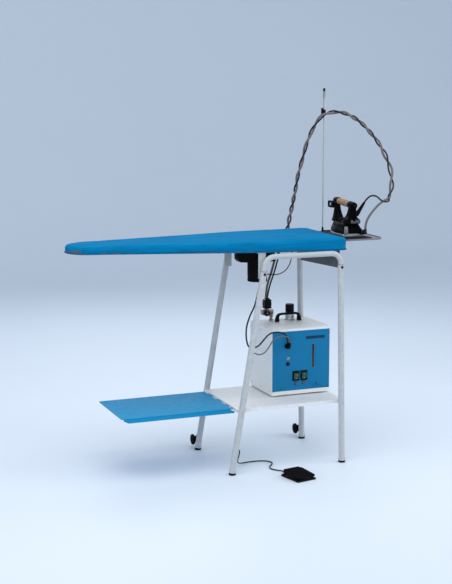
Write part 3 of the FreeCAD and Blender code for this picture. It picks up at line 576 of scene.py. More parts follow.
def flutes(count, depth, radius_limit):
    """Radius factor of a knob with scooped flutes, on the parts wider than a limit."""
    def shape_for(radius):
        if radius < radius_limit:
            return None
        return lambda a: 1 - depth * max(0.0, math.cos(count * a)) ** 2
    return shape_for


def cross_recess(arm, width):
    """Radius of a cross-shaped outline at an angle."""
    def radius(a):
        c, s = max(abs(math.cos(a)), 1e-3), max(abs(math.sin(a)), 1e-3)
        return max(min(arm / c, width / s), min(width / c, arm / s))
    return radius


def screw(shell, place, direction, radius, height):
    """Pan head screw with a cross recess."""
    d = Vector(direction).normalized()
    rings = [circle(place + d * height * h, d, radius * r, 32)
             for r, h in ((1.0, 0.0), (1.0, 0.35), (0.9, 0.75), (0.72, 0.97), (0.66, 1.0))]
    recess = cross_recess(0.55, 0.13)
    rings.append(circle(place + d * height, d, radius, 32, recess))
    rings.append(circle(place + d * height * 0.45, d, radius * 0.9, 32, recess))
    rings.append(circle(place + d * height * 0.4, d, radius * 0.05, 32))
    shell.loft(rings)


def hex_bolt(shell, place, direction, radius, height):
    """Washer and hexagon head with a chamfered top."""
    shell.lathe(place, direction, [(radius * 0.5, 0), (radius * 1.22, 0), (radius * 1.25, height * 0.12),
                                   (radius * 1.2, height * 0.22), (radius * 0.5, height * 0.22)])
    d = Vector(direction).normalized()
    rings = [circle(place + d * height * h, d, radius * r, 36, hexagon)
             for r, h in ((1.0, 0.2), (1.0, 0.82), (0.96, 0.92))]
    rings.append(circle(place + d * height, d, radius * 0.8, 36))
    rings.append(circle(place + d * height * 0.97, d, radius * 0.5, 36))
    shell.loft(rings)


# ------------------------------------------------------------------ cords
STEAM_ROUTE = [
    (0.2695, 0.2417, 0.6404), (0.2725, 0.2427, 0.6880), (0.2995, 0.2557, 0.7420), (0.3255, 0.2757, 0.8000),
    (0.3575, 0.2897, 0.8620), (0.3875, 0.2957, 0.9240), (0.3975, 0.2937, 0.9900), (0.4075, 0.2817, 1.0500),
    (0.4135, 0.2697, 1.1160), (0.4215, 0.2577, 1.1800), (0.4375, 0.2477, 1.2460), (0.4495, 0.2357, 1.3100),
    (0.4715, 0.2177, 1.3720), (0.5075, 0.1997, 1.4140), (0.5615, 0.1677, 1.4240), (0.6175, 0.1277, 1.3980),
    (0.6675, 0.0937, 1.3460), (0.7055, 0.0617, 1.2860), (0.7295, 0.0317, 1.2180), (0.7355, 0.0097, 1.1540),
    (0.7175, -0.0103, 1.1000), (0.6835, -0.0283, 1.0660), (0.6455, -0.0403, 1.0440),
    (0.6095, -0.0463, 1.0100),
    (0.5903, -0.0463, 0.9770), (0.5895, -0.0463, 0.9524)]
IRON_ROUTE = [
    (0.2635, 0.2127, 0.6438), (0.2735, 0.2187, 0.6880), (0.3115, 0.2497, 0.7440), (0.3375, 0.2707, 0.8000),
    (0.3695, 0.2837, 0.8620), (0.3995, 0.2907, 0.9240), (0.4095, 0.2897, 0.9900), (0.4195, 0.2777, 1.0500),
    (0.4255, 0.2657, 1.1160), (0.4335, 0.2537, 1.1800), (0.4495, 0.2437, 1.2460), (0.4615, 0.2307, 1.3060),
    (0.4835, 0.2057, 1.3720), (0.5115, 0.1857, 1.4200), (0.5615, 0.1537, 1.4320), (0.6235, 0.1217, 1.4100),
    (0.6765, 0.0987, 1.3540), (0.7155, 0.0667, 1.2920), (0.7405, 0.0347, 1.2210), (0.7495, 0.0157, 1.1500),
    (0.7405, -0.0023, 1.0920), (0.7175, -0.0283, 1.0740), (0.6875, -0.0503, 1.0580),
    (0.6475, -0.0723, 1.0680),
    (0.6165, -0.0823, 1.0930), (0.5859, -0.0744, 1.0900), (0.5760, -0.0597, 1.0635)]
FAN_ROUTE = [
    (0.2605, -0.0083, 0.4898), (0.2575, -0.0103, 0.5080), (0.2425, -0.0223, 0.5320),
    (0.2085, -0.0303, 0.5450),
    (0.1685, -0.0333, 0.5430), (0.1365, -0.0483, 0.5220), (0.1025, -0.0783, 0.5050),
    (0.0665, -0.1083, 0.5030),
    (0.0395, -0.1183, 0.5080), (0.0305, -0.1143, 0.5420), (0.0325, -0.1083, 0.5880),
    (0.0495, -0.1043, 0.6340),
    (0.0695, -0.1043, 0.6680), (0.0775, -0.1103, 0.7060), (0.0855, -0.1143, 0.7500),
    (0.0975, -0.1023, 0.7900),
    (0.1135, -0.0603, 0.8220), (0.1255, 0.0077, 0.8460)]
GREY_ROUTE = [
    (0.2685, -0.0093, 0.4898), (0.2675, -0.0143, 0.5040), (0.2545, -0.0303, 0.5200),
    (0.2165, -0.0403, 0.5300),
    (0.1805, -0.0443, 0.5210), (0.1605, -0.0523, 0.4940), (0.1305, -0.0723, 0.4720),
    (0.0965, -0.0963, 0.4700),
    (0.0685, -0.1143, 0.4830), (0.0543, -0.1245, 0.4900)]
FLOOR_ROUTE = [
    (-0.0097, -0.1287, 0.0979), (0.0015, -0.1183, 0.0920), (0.0065, -0.1043, 0.0720),
    (0.0065, -0.0883, 0.0480),
    (0.0135, -0.0643, 0.0260), (0.0355, -0.0363, 0.0100), (0.0715, -0.0103, 0.0035),
    (0.1195, -0.0043, 0.0025),
    (0.1615, -0.0163, 0.0025), (0.1775, -0.0463, 0.0025), (0.1615, -0.0763, 0.0025),
    (0.1375, -0.1023, 0.0025),
    (0.1355, -0.1343, 0.0025), (0.1535, -0.1603, 0.0030), (0.1665, -0.1823, 0.0050),
    (0.1719, -0.2069, 0.0070)]
BOARD_CABLE_ROUTE = [
    (0.2655, -0.0343, 0.8873), (0.2625, -0.0353, 0.8500), (0.2525, -0.0363, 0.8180),
    (0.2325, -0.0323, 0.7920),
    (0.2095, -0.0143, 0.7780), (0.1925, 0.0097, 0.7760), (0.1791, 0.0281, 0.7760)]
HOSE_WIDTH = 0.010
IRON_CABLE_WIDTH = 0.007


def route_curve(name, route, width=0.0):
    """Smooth NURBS curve with the route's points as its control points."""
    data = bpy.data.curves.new(name, "CURVE")
    data.dimensions = "3D"
    data.resolution_u = 12
    data.bevel_depth = width / 2
    data.bevel_resolution = 4
    data.use_fill_caps = True
    spline = data.splines.new("NURBS")
    spline.points.add(len(route) - 1)
    for point, place in zip(spline.points, route):
        point.co = (*place, 1.0)
    spline.order_u = 3
    spline.use_endpoint_u = True
    obj = bpy.data.objects.new(name, data)
    bpy.context.scene.collection.objects.link(obj)
    return obj


def route_line(route):
    """Points read from the route's spline."""
    guide = route_curve("guide", route)
    mesh = bpy.data.meshes.new_from_object(guide)
    line = [v.co.copy() for v in mesh.vertices]
    data = guide.data
    bpy.data.objects.remove(guide)
    bpy.data.curves.remove(data)
    bpy.data.meshes.remove(mesh)
    return line


def plain_cord(name, route, width, look, node):
    obj = dress(route_curve(name, route, width), "station", look, (node,))
    return obj


def twisted_pair():
    """Steam hose and iron cable, wound round each other between the boiler and the iron."""
    hose, cable = route_line(STEAM_ROUTE), route_line(IRON_ROUTE)
    count = min(len(hose), len(cable))
    centre = [(hose[i] + cable[i]) / 2 for i in range(count)]
    frames = parallel_frames(centre)
    first, last, blend = 0.10, 0.88, 0.05
    offset = (HOSE_WIDTH + IRON_CABLE_WIDTH) / 4 + 0.0006
    angle = 0.6
    travelled = 0.0
    new_hose, new_cable = [], []
    for i in range(count):
        share = i / (count - 1)
        step = (centre[i] - centre[i - 1]).length if i else 0.0
        travelled += step
        pitch = 0.118 + 0.030 * math.sin(travelled * 11.0)
        if share > first:
            angle += 2 * math.pi * step / pitch
        hold = min(max((share - first) / blend, 0), 1) * min(max((last - share) / blend, 0), 1)
        hold = hold * hold * (3 - 2 * hold)
        _, u, w = frames[i]
        side = u * math.cos(angle) + w * math.sin(angle)
        gap = offset + 0.0022 * max(0.0, math.sin(travelled * 6.3)) ** 3
        new_hose.append(hose[i].lerp(centre[i] - side * gap, hold))
        new_cable.append(cable[i].lerp(centre[i] + side * gap, hold))
    return new_hose + hose[count:], new_cable + cable[count:]


hose_line, cable_line = twisted_pair()
steam_hose = Shell().tube(hose_line, HOSE_WIDTH / 2, 18).make("steam_hose_braided", "station", "hose_braid",
                                                             ("steam_hose",), 60)
iron_cable = Shell().tube(cable_line, IRON_CABLE_WIDTH / 2, 14).make("iron_cable_sheathed", "station",
                                                                    "cable_black", ("iron_cable",), 60)
plain_cord("fan_cable_sheathed", FAN_ROUTE, 0.0065, "cable_black", "fan_cable")
plain_cord("pedal_cable_grey", GREY_ROUTE, 0.005, "cable_grey", "pedal_cable_upper")
plain_cord("pedal_cable_floor", FLOOR_ROUTE, 0.005, "cable_black", "pedal_cable_lower")
plain_cord("board_cable_thin", BOARD_CABLE_ROUTE, 0.004, "cable_black", "board_cable")


# ------------------------------------------------------------------ light and floor
def lamp(name, place, target, size, power, colour=(1, 1, 1)):
    data = bpy.data.lights.new(name, "AREA")
    data.shape = "RECTANGLE"
    data.size, data.size_y = size
    data.energy = power
    data.color = colour
    obj = bpy.data.objects.new(name, data)
    obj.location = place
    obj.rotation_euler = (Vector(target) - Vector(place)).to_track_quat("-Z", "Y").to_euler()
    bpy.context.scene.collection.objects.link(obj)


lamp("overhead", (-0.6, -0.8, 3.6), (0, 0, 0.6), (3.2, 2.6), 62)
lamp("front_left", (-3.4, -3.4, 2.3), (0, 0, 0.6), (2.4, 2.4), 38)
lamp("right_side", (3.2, -1.4, 1.8), (0.1, 0, 0.6), (1.8, 2.4), 36)
lamp("behind", (0.8, 3.2, 2.4), (0, 0, 0.7), (2.6, 1.8), 24)

world = bpy.data.worlds.new("studio")
world.use_nodes = True
world.node_tree.nodes["Background"].inputs["Color"].default_value = (0.74, 0.83, 0.95, 1)
world.node_tree.nodes["Background"].inputs["Strength"].default_value = 0.75
bpy.context.scene.world = world
bpy.context.scene.view_settings.view_transform = "Standard"

floor_look = Finish("studio_floor", 0.6)
floor_look.colour(floor_look.mix(floor_look.noise(0.8, 2.0), (0.70, 0.76, 0.84, 1), (0.74, 0.80, 0.87, 1)))
profile = [(-30.0, 0.0), (5.0, 0.0)] + [(5.0 + 3.0 * math.sin(math.radians(6 * k)),
                                         3.0 - 3.0 * math.cos(math.radians(6 * k)))
                                        for k in range(1, 16)] + [(8.0, 14.0)]
floor = Shell()
rows = [floor.ring([(x, y, z - 0.0005) for y, z in profile]) for x in (-30.0, 30.0)]
floor.bridge(rows[0], rows[1], closed=False)
floor_mesh = bpy.data.meshes.new("floor")
floor.bm.to_mesh(floor_mesh)
floor_mesh.polygons.foreach_set("use_smooth", [True] * len(floor_mesh.polygons))
floor_mesh.materials.append(floor_look.material)
floor_object = bpy.data.objects.new("floor", floor_mesh)
bpy.context.scene.collection.objects.link(floor_object)

# ------------------------------------------------------------------ board
COVER_LOW, COVER_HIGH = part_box("board_cover")
BOARD_MIDDLE = (COVER_LOW.y + COVER_HIGH.y) / 2
BOARD_HALF = (COVER_HIGH.y - COVER_LOW.y) / 2
NOSE_RADIUS = 0.095
NOSE_X = COVER_LOW.x + NOSE_RADIUS
TAPER_X = COVER_HIGH.x - 0.318
CORNER = 0.026
UNDER_NOSE = 0.902
UNDER_FLAT_X, UNDER_FULL_X = COVER_HIGH.x - 0.068, COVER_HIGH.x - 1.018


def board_under(x):
    """Height of the board's underside at x."""
    share = min(max((UNDER_FLAT_X - x) / (UNDER_FLAT_X - UNDER_FULL_X), 0.0), 1.0)
    return COVER_LOW.z + (UNDER_NOSE - COVER_LOW.z) * share


def board_outline(inset, step=0.008):
    """Closed outline of the board in plan, drawn in by 'inset', with evenly spaced points."""
    half, nose = BOARD_HALF - inset, NOSE_RADIUS - inset
    end = COVER_HIGH.x - inset
    corner = max(CORNER - inset * 0.5, 0.004)
    lean = math.atan2(BOARD_HALF - NOSE_RADIUS, TAPER_X - NOSE_X)
    plan = []

    def arc(x, y, r, start, stop):
        count = max(3, round(abs(stop - start) * r / step))
        for k in range(count + 1):
            a = start + (stop - start) * k / count
            plan.append((x + r * math.cos(a), y + r * math.sin(a)))

    arc(end - corner, half - corner, corner, 0, math.pi / 2)
    plan.append((TAPER_X, half))
    arc(NOSE_X, 0, nose, math.pi / 2 + lean, math.pi * 1.5 - lean)
    plan.append((TAPER_X, -half))
    arc(end - corner, corner - half, corner, -math.pi / 2, 0)
    points = []
    for (x0, y0), (x1, y1) in zip(plan, plan[1:] + plan[:1]):
        count = max(1, round(math.hypot(x1 - x0, y1 - y0) / step))
        points += [(x0 + (x1 - x0) * k / count, y0 + (y1 - y0) * k / count) for k in range(count)]
    return [Vector((x, BOARD_MIDDLE + y, 0)) for x, y in points]


def board_body(name, inset, low_gap, top, round_top, round_low):
    """Closed board shape from the underside up to 'top', with rounded rims."""
    shell = Shell()
    rings = []
    base = board_outline(inset)
    for k in range(5):
        a = math.pi / 2 * k / 4
        ring = inset_ring(base, UP, round_low * (1 - math.sin(a)))
        rings.append([Vector((p.x, p.y,
                              board_under(p.x) + low_gap + round_low * (1 - math.cos(a)))) for p in ring])
    for k in range(6):
        a = math.pi / 2 * k / 5
        ring = inset_ring(base, UP, round_top * (1 - math.cos(a)))
        rings.append([Vector((p.x, p.y, top - round_top * (1 - math.sin(a)))) for p in ring])
    shell.loft(rings)
    mesh = bpy.data.meshes.new(name)
    bmesh.ops.triangulate(shell.bm, faces=[f for f in shell.bm.faces if len(f.verts) > 4])
    bmesh.ops.recalc_face_normals(shell.bm, faces=shell.bm.faces[:])
    shell.bm.to_mesh(mesh)
    shell.bm.free()
    obj = bpy.data.objects.new(name, mesh)
    bpy.context.scene.collection.objects.link(obj)
    return obj


def apply_modifiers(obj):
    mesh = bpy.data.meshes.new_from_object(obj.evaluated_get(bpy.context.evaluated_depsgraph_get()))
    obj.modifiers.clear()
    old, obj.data = obj.data, mesh
    bpy.data.meshes.remove(old)


def puff(obj, pressure, cap, frames=20, stiffness=15.0):
    """Blows a closed padded shape up a little with cloth simulation, moving no point past 'cap'."""
    rest = [v.co.copy() for v in obj.data.vertices]
    cloth = obj.modifiers.new("cloth", "CLOTH")
    s = cloth.settings
    s.quality = 4
    s.mass = 0.3
    s.tension_stiffness = s.compression_stiffness = stiffness
    s.bending_stiffness = 0.5
    s.use_pressure = True
    s.uniform_pressure_force = pressure
    s.effector_weights.gravity = 0.0
    scene = bpy.context.scene
    for f in range(1, frames + 1):
        scene.frame_set(f)
    apply_modifiers(obj)
    scene.frame_set(1)
    for v, start in zip(obj.data.vertices, rest):
        move = v.co - start
        move.z = max(move.z, 0.0) if start.z > TOP_Z - 0.02 else 0.0
        v.co = start + move * min(1.0, cap / max(move.length, 1e-9))


TOP_Z = COVER_HIGH.z - 0.002
cover = board_body("board_cover_cotton", -0.0008, -0.0008, TOP_Z, 0.007, 0.0025)
remesh = cover.modifiers.new("remesh", "REMESH")
remesh.mode = "VOXEL"
remesh.voxel_size = 0.0075
apply_modifiers(cover)
puff(cover, 4.0, 0.003)

RIM = board_outline(0.0, 0.004)
rim_tree = kdtree.KDTree(len(RIM))
for i, p in enumerate(RIM):
    rim_tree.insert(p, i)
rim_tree.balance()
OPENING = board_outline(0.032, 0.004)
opening_tree = kdtree.KDTree(len(OPENING))
for i, p in enumerate(OPENING):
    opening_tree.insert(p, i)
opening_tree.balance()


def from_rim(p):
    """Distance in from the board's outline, and how far round it the place is."""
    _, index, distance = rim_tree.find(Vector((p.x, p.y, 0)))
    return distance, index * 0.004


def fold(x, width):
    """A soft ridge across zero."""
    return math.exp(-(x / width) ** 2)


CROWN = 0.0013           # rise of the top over the padding
TOP_RIPPLE = 0.0008      # slow waves on the top
DRAG_LONG = 0.0028       # long drag lines on the side
DRAG_SHORT = 0.0011      # short ones
NOSE_TUCK = 0.0022       # how far the side turns in under the nose
RIM_DROP = 0.003         # how far the lower rim hangs


def crease_cover(obj):
    """Crown of the padding, drag lines along the side, gathers at the corners and the hem."""
    mesh = obj.data
    for v, normal in [(v, v.normal.copy()) for v in mesh.vertices]:
        p = v.co.copy()
        inset, along = from_rim(p)
        low = board_under(p.x)
        on_side = max(0.0, 1 - abs(normal.z))
        height = (p.z - low) / (COVER_HIGH.z - low)
        move = Vector()
        if normal.z > 0.5:
            move.z += CROWN * (1 - math.exp(-inset / 0.03))
            move.z += TOP_RIPPLE * noise.noise(Vector((p.x * 7, p.y * 24, 0)))
            move.z -= 0.0016 * fold(inset - 0.020, 0.006) * max(0.0,
                                                                noise.noise(Vector((p.x * 7, p.y * 7, 3.0))))
        outward = Vector((normal.x, normal.y, 0)) * on_side
        drag = noise.noise(Vector((along * 2.6, p.z * 52, 1.7))) * DRAG_LONG
        drag += noise.noise(Vector((along * 9, p.z * 60, 9.1))) * DRAG_SHORT
        gather = math.sin(along * 2 * math.pi / 0.017 + 2.5 * noise.noise(Vector((along * 9, 0, 0))))
        corner = fold(p.x - (COVER_HIGH.x - 0.016), 0.034) * fold(abs(p.y - BOARD_MIDDLE) - BOARD_HALF, 0.05)
        nose = fold(p.x - COVER_LOW.x, 0.075)
        pull = (0.0004 + 0.0020 * corner + 0.0009 * nose) * (1 - min(max(height, 0.0), 1.0)) ** 0.7
        tuck = NOSE_TUCK * fold(p.x - COVER_LOW.x, 0.055) * (1 - min(max(height * 1.8, 0.0), 1.0)) ** 1.5
        move += outward * (drag + gather * pull - 0.0006 - tuck)
        move.z -= RIM_DROP * max(0.0, 1 - inset / 0.012) * max(0.0, 1 - (p.z - low) / 0.02)
        v.co = p + move
    mesh.update()


crease_cover(cover)


def open_underside(obj):
    """Cuts the hole in the cover's underside and draws its edge on to a smooth outline."""
    bm = bmesh.new()
    bm.from_mesh(obj.data)
    bm.normal_update()
    inside = []
    for f in bm.faces:
        c = f.calc_center_median()
        if f.normal.z < -0.7 and c.z < board_under(c.x) + 0.006 and from_rim(c)[0] > 0.030:
            inside.append(f)
    bmesh.ops.delete(bm, geom=inside, context="FACES")
    for v in bm.verts:
        if v.is_boundary:
            place = opening_tree.find(Vector((v.co.x, v.co.y, 0)))[0]
            v.co.x, v.co.y = place.x, place.y
            v.co.z = board_under(v.co.x) + 0.0004
    bm.to_mesh(obj.data)
    bm.free()


open_underside(cover)
thick = cover.modifiers.new("cloth_thickness", "SOLIDIFY")
thick.thickness = 0.0011
thick.offset = -1.0
smooth = cover.modifiers.new("fine", "SUBSURF")
smooth.levels = smooth.render_levels = 1
cover.modifiers.move(1, 0)
dress(cover, "station", "cover_cotton", ("board_cover",), sharp=60)

pad = board_body("board_padding_felt", 0.0075, 0.0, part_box("board_pad")[1].z - 0.0020, 0.008, 0.003)
for v in pad.data.vertices:
    v.co.z = max(v.co.z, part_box("board_pad")[0].z + 0.0003)
dress(pad, "station", "felt", ("board_pad",))


def closed_cord(name, outline, radius, look, strands=0):
    """Round cord along a closed outline of points."""
    shell = Shell()
    path = outline + outline[:1]
    shape = (lambda a, s: 1 + 0.12 * math.cos(3 * a + s * 900)) if strands else None
    shell.tube(path, radius, 10, shape=shape)
    return shell.make(name, "station", look, sharp=70)


hem_line = [Vector((p.x, p.y, board_under(p.x) + 0.0008)) for p in board_outline(0.0012, 0.006)]
closed_cord("cover_hem_piping", hem_line, 0.0017, "hem_cord")
draw_line = [Vector((p.x, p.y, board_under(p.x) + 0.0018)) for p in board_outline(0.033, 0.008)]
closed_cord("cover_drawstring", draw_line, 0.0018, "hem_cord", strands=3)

# ------------------------------------------------------------------ linen tray
def rounded_rectangle(x0, x1, y0, y1, z, radius, steps=6):
    """Level outline of a rectangle in station millimetres; radius may be one per corner."""
    radii = [r * MM for r in radius] if isinstance(radius, (list, tuple)) else radius * MM
    return rounded([at(x0, y0, z), at(x1, y0, z), at(x1, y1, z), at(x0, y1, z)], radii, steps)


TRAY_LOW, TRAY_HIGH = (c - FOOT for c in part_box("linen_tray"))
tx0, ty0, tz0 = (c / MM for c in TRAY_LOW)
tx1, ty1, tz1 = (c / MM for c in TRAY_HIGH)
tray = Shell()
tray.plate(rounded_rectangle(tx0, tx1, ty0, ty1, tz0, (12, 2, 2, 12)), UP, (tz1 - tz0) * MM, 0.0012)
tray.make("linen_tray_sheet", "linen_tray", "tray_blue", ("linen_tray",))
rivets = Shell()
for rivet_y in (ty0 + 9, ty1 - 9):
    for k in range(5):
        place = at(tx0 + 30 + k * 97, rivet_y, tz1)
        rivets.lathe(place, UP, [(0.0045, -0.0002), (0.0044, 0.0004), (0.0032, 0.0011), (0.0, 0.0014)], 24)
rivets.make("linen_tray_rivets", "linen_tray", "tray_blue")

# ------------------------------------------------------------------ stand
trims = solids("leg_trim")
for low, high in trims:
    centre = (low + high) / 2
    name = "%s_%s" % ("front" if centre.y < FOOT.y + 0.2 else "rear", "left" if centre.x < 0.1 else "right")
    if low.z < 0.005:
        rubber = Shell()
        r = 0.0142
        rubber.lathe(Vector((centre.x, centre.y, 0)), UP,
                     [(r * 0.55, 0.0), (r - 0.0012, 0.0), (r, 0.0012), (r, 0.0075), (r - 0.0008, 0.0085),
                      (0.008, 0.0087)])
        rubber.make("foot_rubber_" + name, "station", "black_rubber", ("leg_trim",))
        lean = Vector((high.x - low.x - 2 * r, 0, 0.020))
        ferrule = Shell()
        ferrule.lathe(Vector((centre.x - lean.x * 0.1, centre.y, 0.0078)), lean,
                      [(0.0126, 0.0), (0.0140, 0.0), (0.0144, 0.0008), (0.0144, 0.0105), (0.0138, 0.0118),
                       (0.0126, 0.0120)])
        ferrule.make("foot_ferrule_" + name, "station", "stand_paint")
    elif high.z - low.z < 0.007:
        collar = Shell()
        lean = Vector((0.1664 if "left" in name else -0.02, 0, 1))
        collar.lathe(Vector((centre.x, centre.y, low.z)), lean,
                     [(0.0110, 0.0), (0.0126, 0.0), (0.0128, 0.0012), (0.0126, 0.0036), (0.0118, 0.0048),
                      (0.0110, 0.0050)])
        collar.make("joint_collar_" + name, "station", "joint_ring")
    else:
        inner = Vector((centre.x, centre.y, centre.z))
        outward = Vector((0.55, 0.80, 0.1)) if centre.z < 0.2 else Vector((-0.7, -0.7, 0.0))
        grommet = Shell()
        grommet.lathe(inner - outward.normalized() * 0.001, outward,
                      [(0.0026, -0.002), (0.0044, -0.002), (0.0050, 0.0), (0.0044, 0.002), (0.0034, 0.0034),
                       (0.0026, 0.0036)], 28)
        grommet.make("cable_grommet_%d" % round(centre.z * 1000), "station", "black_rubber")

bolts, shelf_screws = Shell(), Shell()
for low, high in solids("frame_bolts"):
    centre = (low + high) / 2
    front = centre.y < FOOT.y + 0.2
    face = Vector((centre.x, high.y if front else low.y, centre.z))
    direction = Vector((0, -1 if front else 1, 0))
    if centre.z > 0.5:
        hex_bolt(bolts, face, direction, 0.0046, high.y - low.y)
    else:
        screw(shelf_screws, face, direction, 0.004, high.y - low.y)
bolts.make("hoop_bolts", "station", "black_oxide", ("frame_bolts",))
shelf_screws.make("shelf_screws", "station", "zinc")


def turned_wheel(name):
    """Rubber tyre with cross grooves on a hub with spokes."""
    low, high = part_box(name)
    centre = (low + high) / 2
    width = high.x - low.x
    left = Vector((low.x, centre.y, centre.z))
    axis = Vector((1, 0, 0))
    outer = (high.z - low.z) / 2
    inner = outer - 0.006

    def groove(radius):
        if radius < outer - 0.0012:
            return None
        return lambda a: 1 - 0.022 * (0.5 + 0.5 * math.cos(30 * a)) ** 6

    tyre = Shell()
    tyre.lathe(left, axis, [(inner, 0.0004), (outer - 0.003, 0.0), (outer - 0.0013, 0.0006), (outer, 0.0024),
                            (outer, width - 0.0024), (outer - 0.0013, width - 0.0006), (outer - 0.003, width),
                            (inner, width - 0.0004), (inner, 0.0004)], 180, groove)
    tyre.make(name + "_tyre", name, "black_rubber", (name,), sharp=50)
    hub = Shell()
    hub.lathe(left, axis, [(inner - 0.0003, 0.0008), (inner - 0.0022, 0.0006), (inner - 0.003, 0.0034),
                           (0.0095, 0.0036), (0.009, 0.0004), (0.0044, 0.0004), (0.0044, width - 0.0004),
                           (0.009, width - 0.0004), (0.0095, width - 0.0036), (inner - 0.003, width - 0.0034),
                           (inner - 0.0022, width - 0.0006), (inner - 0.0003, width - 0.0008),
                           (inner - 0.0003, 0.0008)], 60)
    for k in range(6):
        turn = Matrix.Translation(left) @ Matrix.Rotation(math.radians(60 * k), 4, "X")
        hub.block((0.0009, -0.0009, 0.0085), (width - 0.0009, 0.0009, inner - 0.0015), 0.0004, 1, turn)
    hub.make(name + "_hub", name, "black_plastic")


turned_wheel("wheel_left")
turned_wheel("wheel_right")

# ------------------------------------------------------------------ suction fan
fan_low, fan_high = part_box("fan_housing")
fan_x, fan_y = (fan_low.x + fan_high.x) / 2, (fan_low.y + fan_high.y) / 2
beads = Shell()
for bead_z in (0.004, 0.030, 0.0795):
    beads.lathe(Vector((fan_x, fan_y, fan_low.z + bead_z - 0.002)), UP,
                [(0.0399, 0.0), (0.0407, 0.0002), (0.0412, 0.002), (0.0407, 0.0038), (0.0399, 0.004)], 64)
for k in range(24):
    turn = Matrix.Translation((fan_x, fan_y, fan_low.z)) @ Matrix.Rotation(math.radians(15 * k), 4, "Z")
    beads.block((0.0397, -0.0007, 0.034), (0.0409, 0.0007, 0.076), 0.0004, 1, turn)
beads.make("fan_housing_ribs", "station", "dark_steel")
duct_low, duct_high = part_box("fan_duct")
duct_screws = Shell()
for screw_x in (duct_low.x + 0.056, (duct_low.x + duct_high.x) / 2 + 0.022, duct_high.x - 0.012):
    screw(duct_screws, Vector((screw_x, duct_low.y, duct_high.z - 0.012)), (0, -1, 0), 0.0030, 0.0020)
    screw(duct_screws, Vector((screw_x, duct_high.y, duct_high.z - 0.012)), (0, 1, 0), 0.0030, 0.0020)
duct_screws.make("fan_duct_screws", "station", "zinc")

# ------------------------------------------------------------------ boiler
FRONT_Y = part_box("boiler_front_panel")[0].y
CABINET_LOW, CABINET_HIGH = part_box("boiler_cabinet")

panel_screws, dark_screws = Shell(), Shell()
for low, high in solids("panel_trim"):
    if high.z - low.z < 0.01:
        centre = (low + high) / 2
        target = dark_screws if at(-51, 0, 306).x - 0.002 < centre.x < at(-51, 0,
                                                                          306).x + 0.002 else panel_screws
        screw(target, Vector((centre.x, high.y, centre.z)), (0, -1, 0), 0.0030, high.y - low.y)
    else:
        window_low, window_high = low, high
panel_screws.make("panel_screws", "station", "panel_blue", ("panel_trim",))
dark_screws.make("panel_drain_screw", "station", "black_oxide")


def upright_frame(shell, low, high, y, depth, border, radius):
    """Rounded rectangular frame standing in the XZ plane in front of y."""
    outer = rounded([Vector((low.x, y, low.z)), Vector((high.x, y, low.z)),
                     Vector((high.x, y, high.z)), Vector((low.x, y, high.z))], radius, 4)
    d = Vector((0, -1, 0))
    inner = inset_ring(outer, d, border)
    rim = min(0.0006, depth * 0.4)
    rings = [outer, [p + d * (depth - rim) for p in outer],
             [p + d * depth for p in inset_ring(outer, d, rim)],
             [p + d * depth for p in inset_ring(outer, d, border - rim)],
             [p + d * (depth - rim) for p in inner],
             inner, outer]
    shell.loft(rings, caps=False)


rim = Shell()
upright_frame(rim, window_low, window_high, window_high.y, 0.0014, 0.0022, 0.0016)
rim.make("level_window_rim", "station", "window_rim")
glass_low, glass_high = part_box("level_window")
glass = Shell()
glass.block(glass_low, glass_high, 0.0008)
glass.make("level_window_glass", "station", "gauge_glass", ("level_window",))
ticks = Shell()
for k in range(9):
    tick_z = glass_low.z + 0.009 + k * 0.010
    long = 0.007 if k % 4 == 0 else 0.004
    ticks.block((window_high.x + 0.002, FRONT_Y - 0.0003, tick_z - 0.0004),
                (window_high.x + 0.002 + long, FRONT_Y, tick_z + 0.0004), 0.0001, 1)
ticks.make("level_scale", "station", "dark_ink")
plate = Shell()
plate.plate(rounded([at(-100, 145.9, 497), at(-13, 145.9, 497), at(-13, 145.9, 509), at(-100, 145.9, 509)],
                    0.002),
            (0, -1, 0), 0.0007, 0.0003)
plate.make("panel_name_strip", "station", "dark_ink")


def switch(name, body, node, frame_low, frame_high):
    """Black bezel and a tinted rocker with its two marks."""
    bezel = Shell()
    upright_frame(bezel, frame_low, frame_high, frame_high.y, 0.0026, 0.0044, 0.0024)
    bezel.block((frame_low.x + 0.002, FRONT_Y + 0.0005, frame_low.z + 0.0062),
                (frame_high.x - 0.002, FRONT_Y + 0.036, frame_high.z - 0.0062), 0.001)
    bezel.make(name + "_bezel", "station", "black_plastic", ("switch_frames",))
    low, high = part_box(node)
    centre = Vector(((low.x + high.x) / 2, FRONT_Y + 0.004, (frame_low.z + frame_high.z) / 2))
    half, radius, tilt = 0.0104, 0.0142, math.radians(7)
    profile = []
    for k in range(13):
        a = math.radians(-76 + 152 * k / 12)
        sag = 0.0022 * math.cos(a * 1.18) ** 2
        profile.append((-(radius - 0.0036) * math.cos(a) - 0.0020 + sag - 0.002,
                        radius * math.sin(a) * 0.985))
    profile = [(y, z) for y, z in profile] + [(0.004, profile[-1][1] * 0.96), (0.004, profile[0][1] * 0.96)]
    turn = Matrix.Translation(centre) @ Matrix.Rotation(tilt, 4, "X")
    rocker = Shell()
    outline = [turn @ Vector((-half, y, z)) for y, z in profile]
    rocker.plate(outline, (1, 0, 0), 2 * half, 0.0007)
    rocker.make(node + "_cap", body, "green_rocker", (node,))
    marks = Shell()
    marks.block((-0.0006, -0.0128, 0.0066), (0.0006, -0.0110, 0.0100), 0.0002, 1, turn)
    ring = [turn @ Vector((0.0017 * math.cos(a), -0.0121, -0.0080 + 0.0017 * math.sin(a)))
            for a in (2 * math.pi * k / 20 for k in range(21))]
    marks.tube(ring, 0.00035, 6)
    marks.make(node + "_marks", body, "mark_white")


frames = [b for b in solids("switch_frames") if b[1].z - b[0].z > 0.038]
for (low, high), side in zip(sorted(frames, key=lambda b: b[0].x), ("left", "right")):
    switch("switch_" + side, "rocker_" + side, "rocker_" + side, low, high)

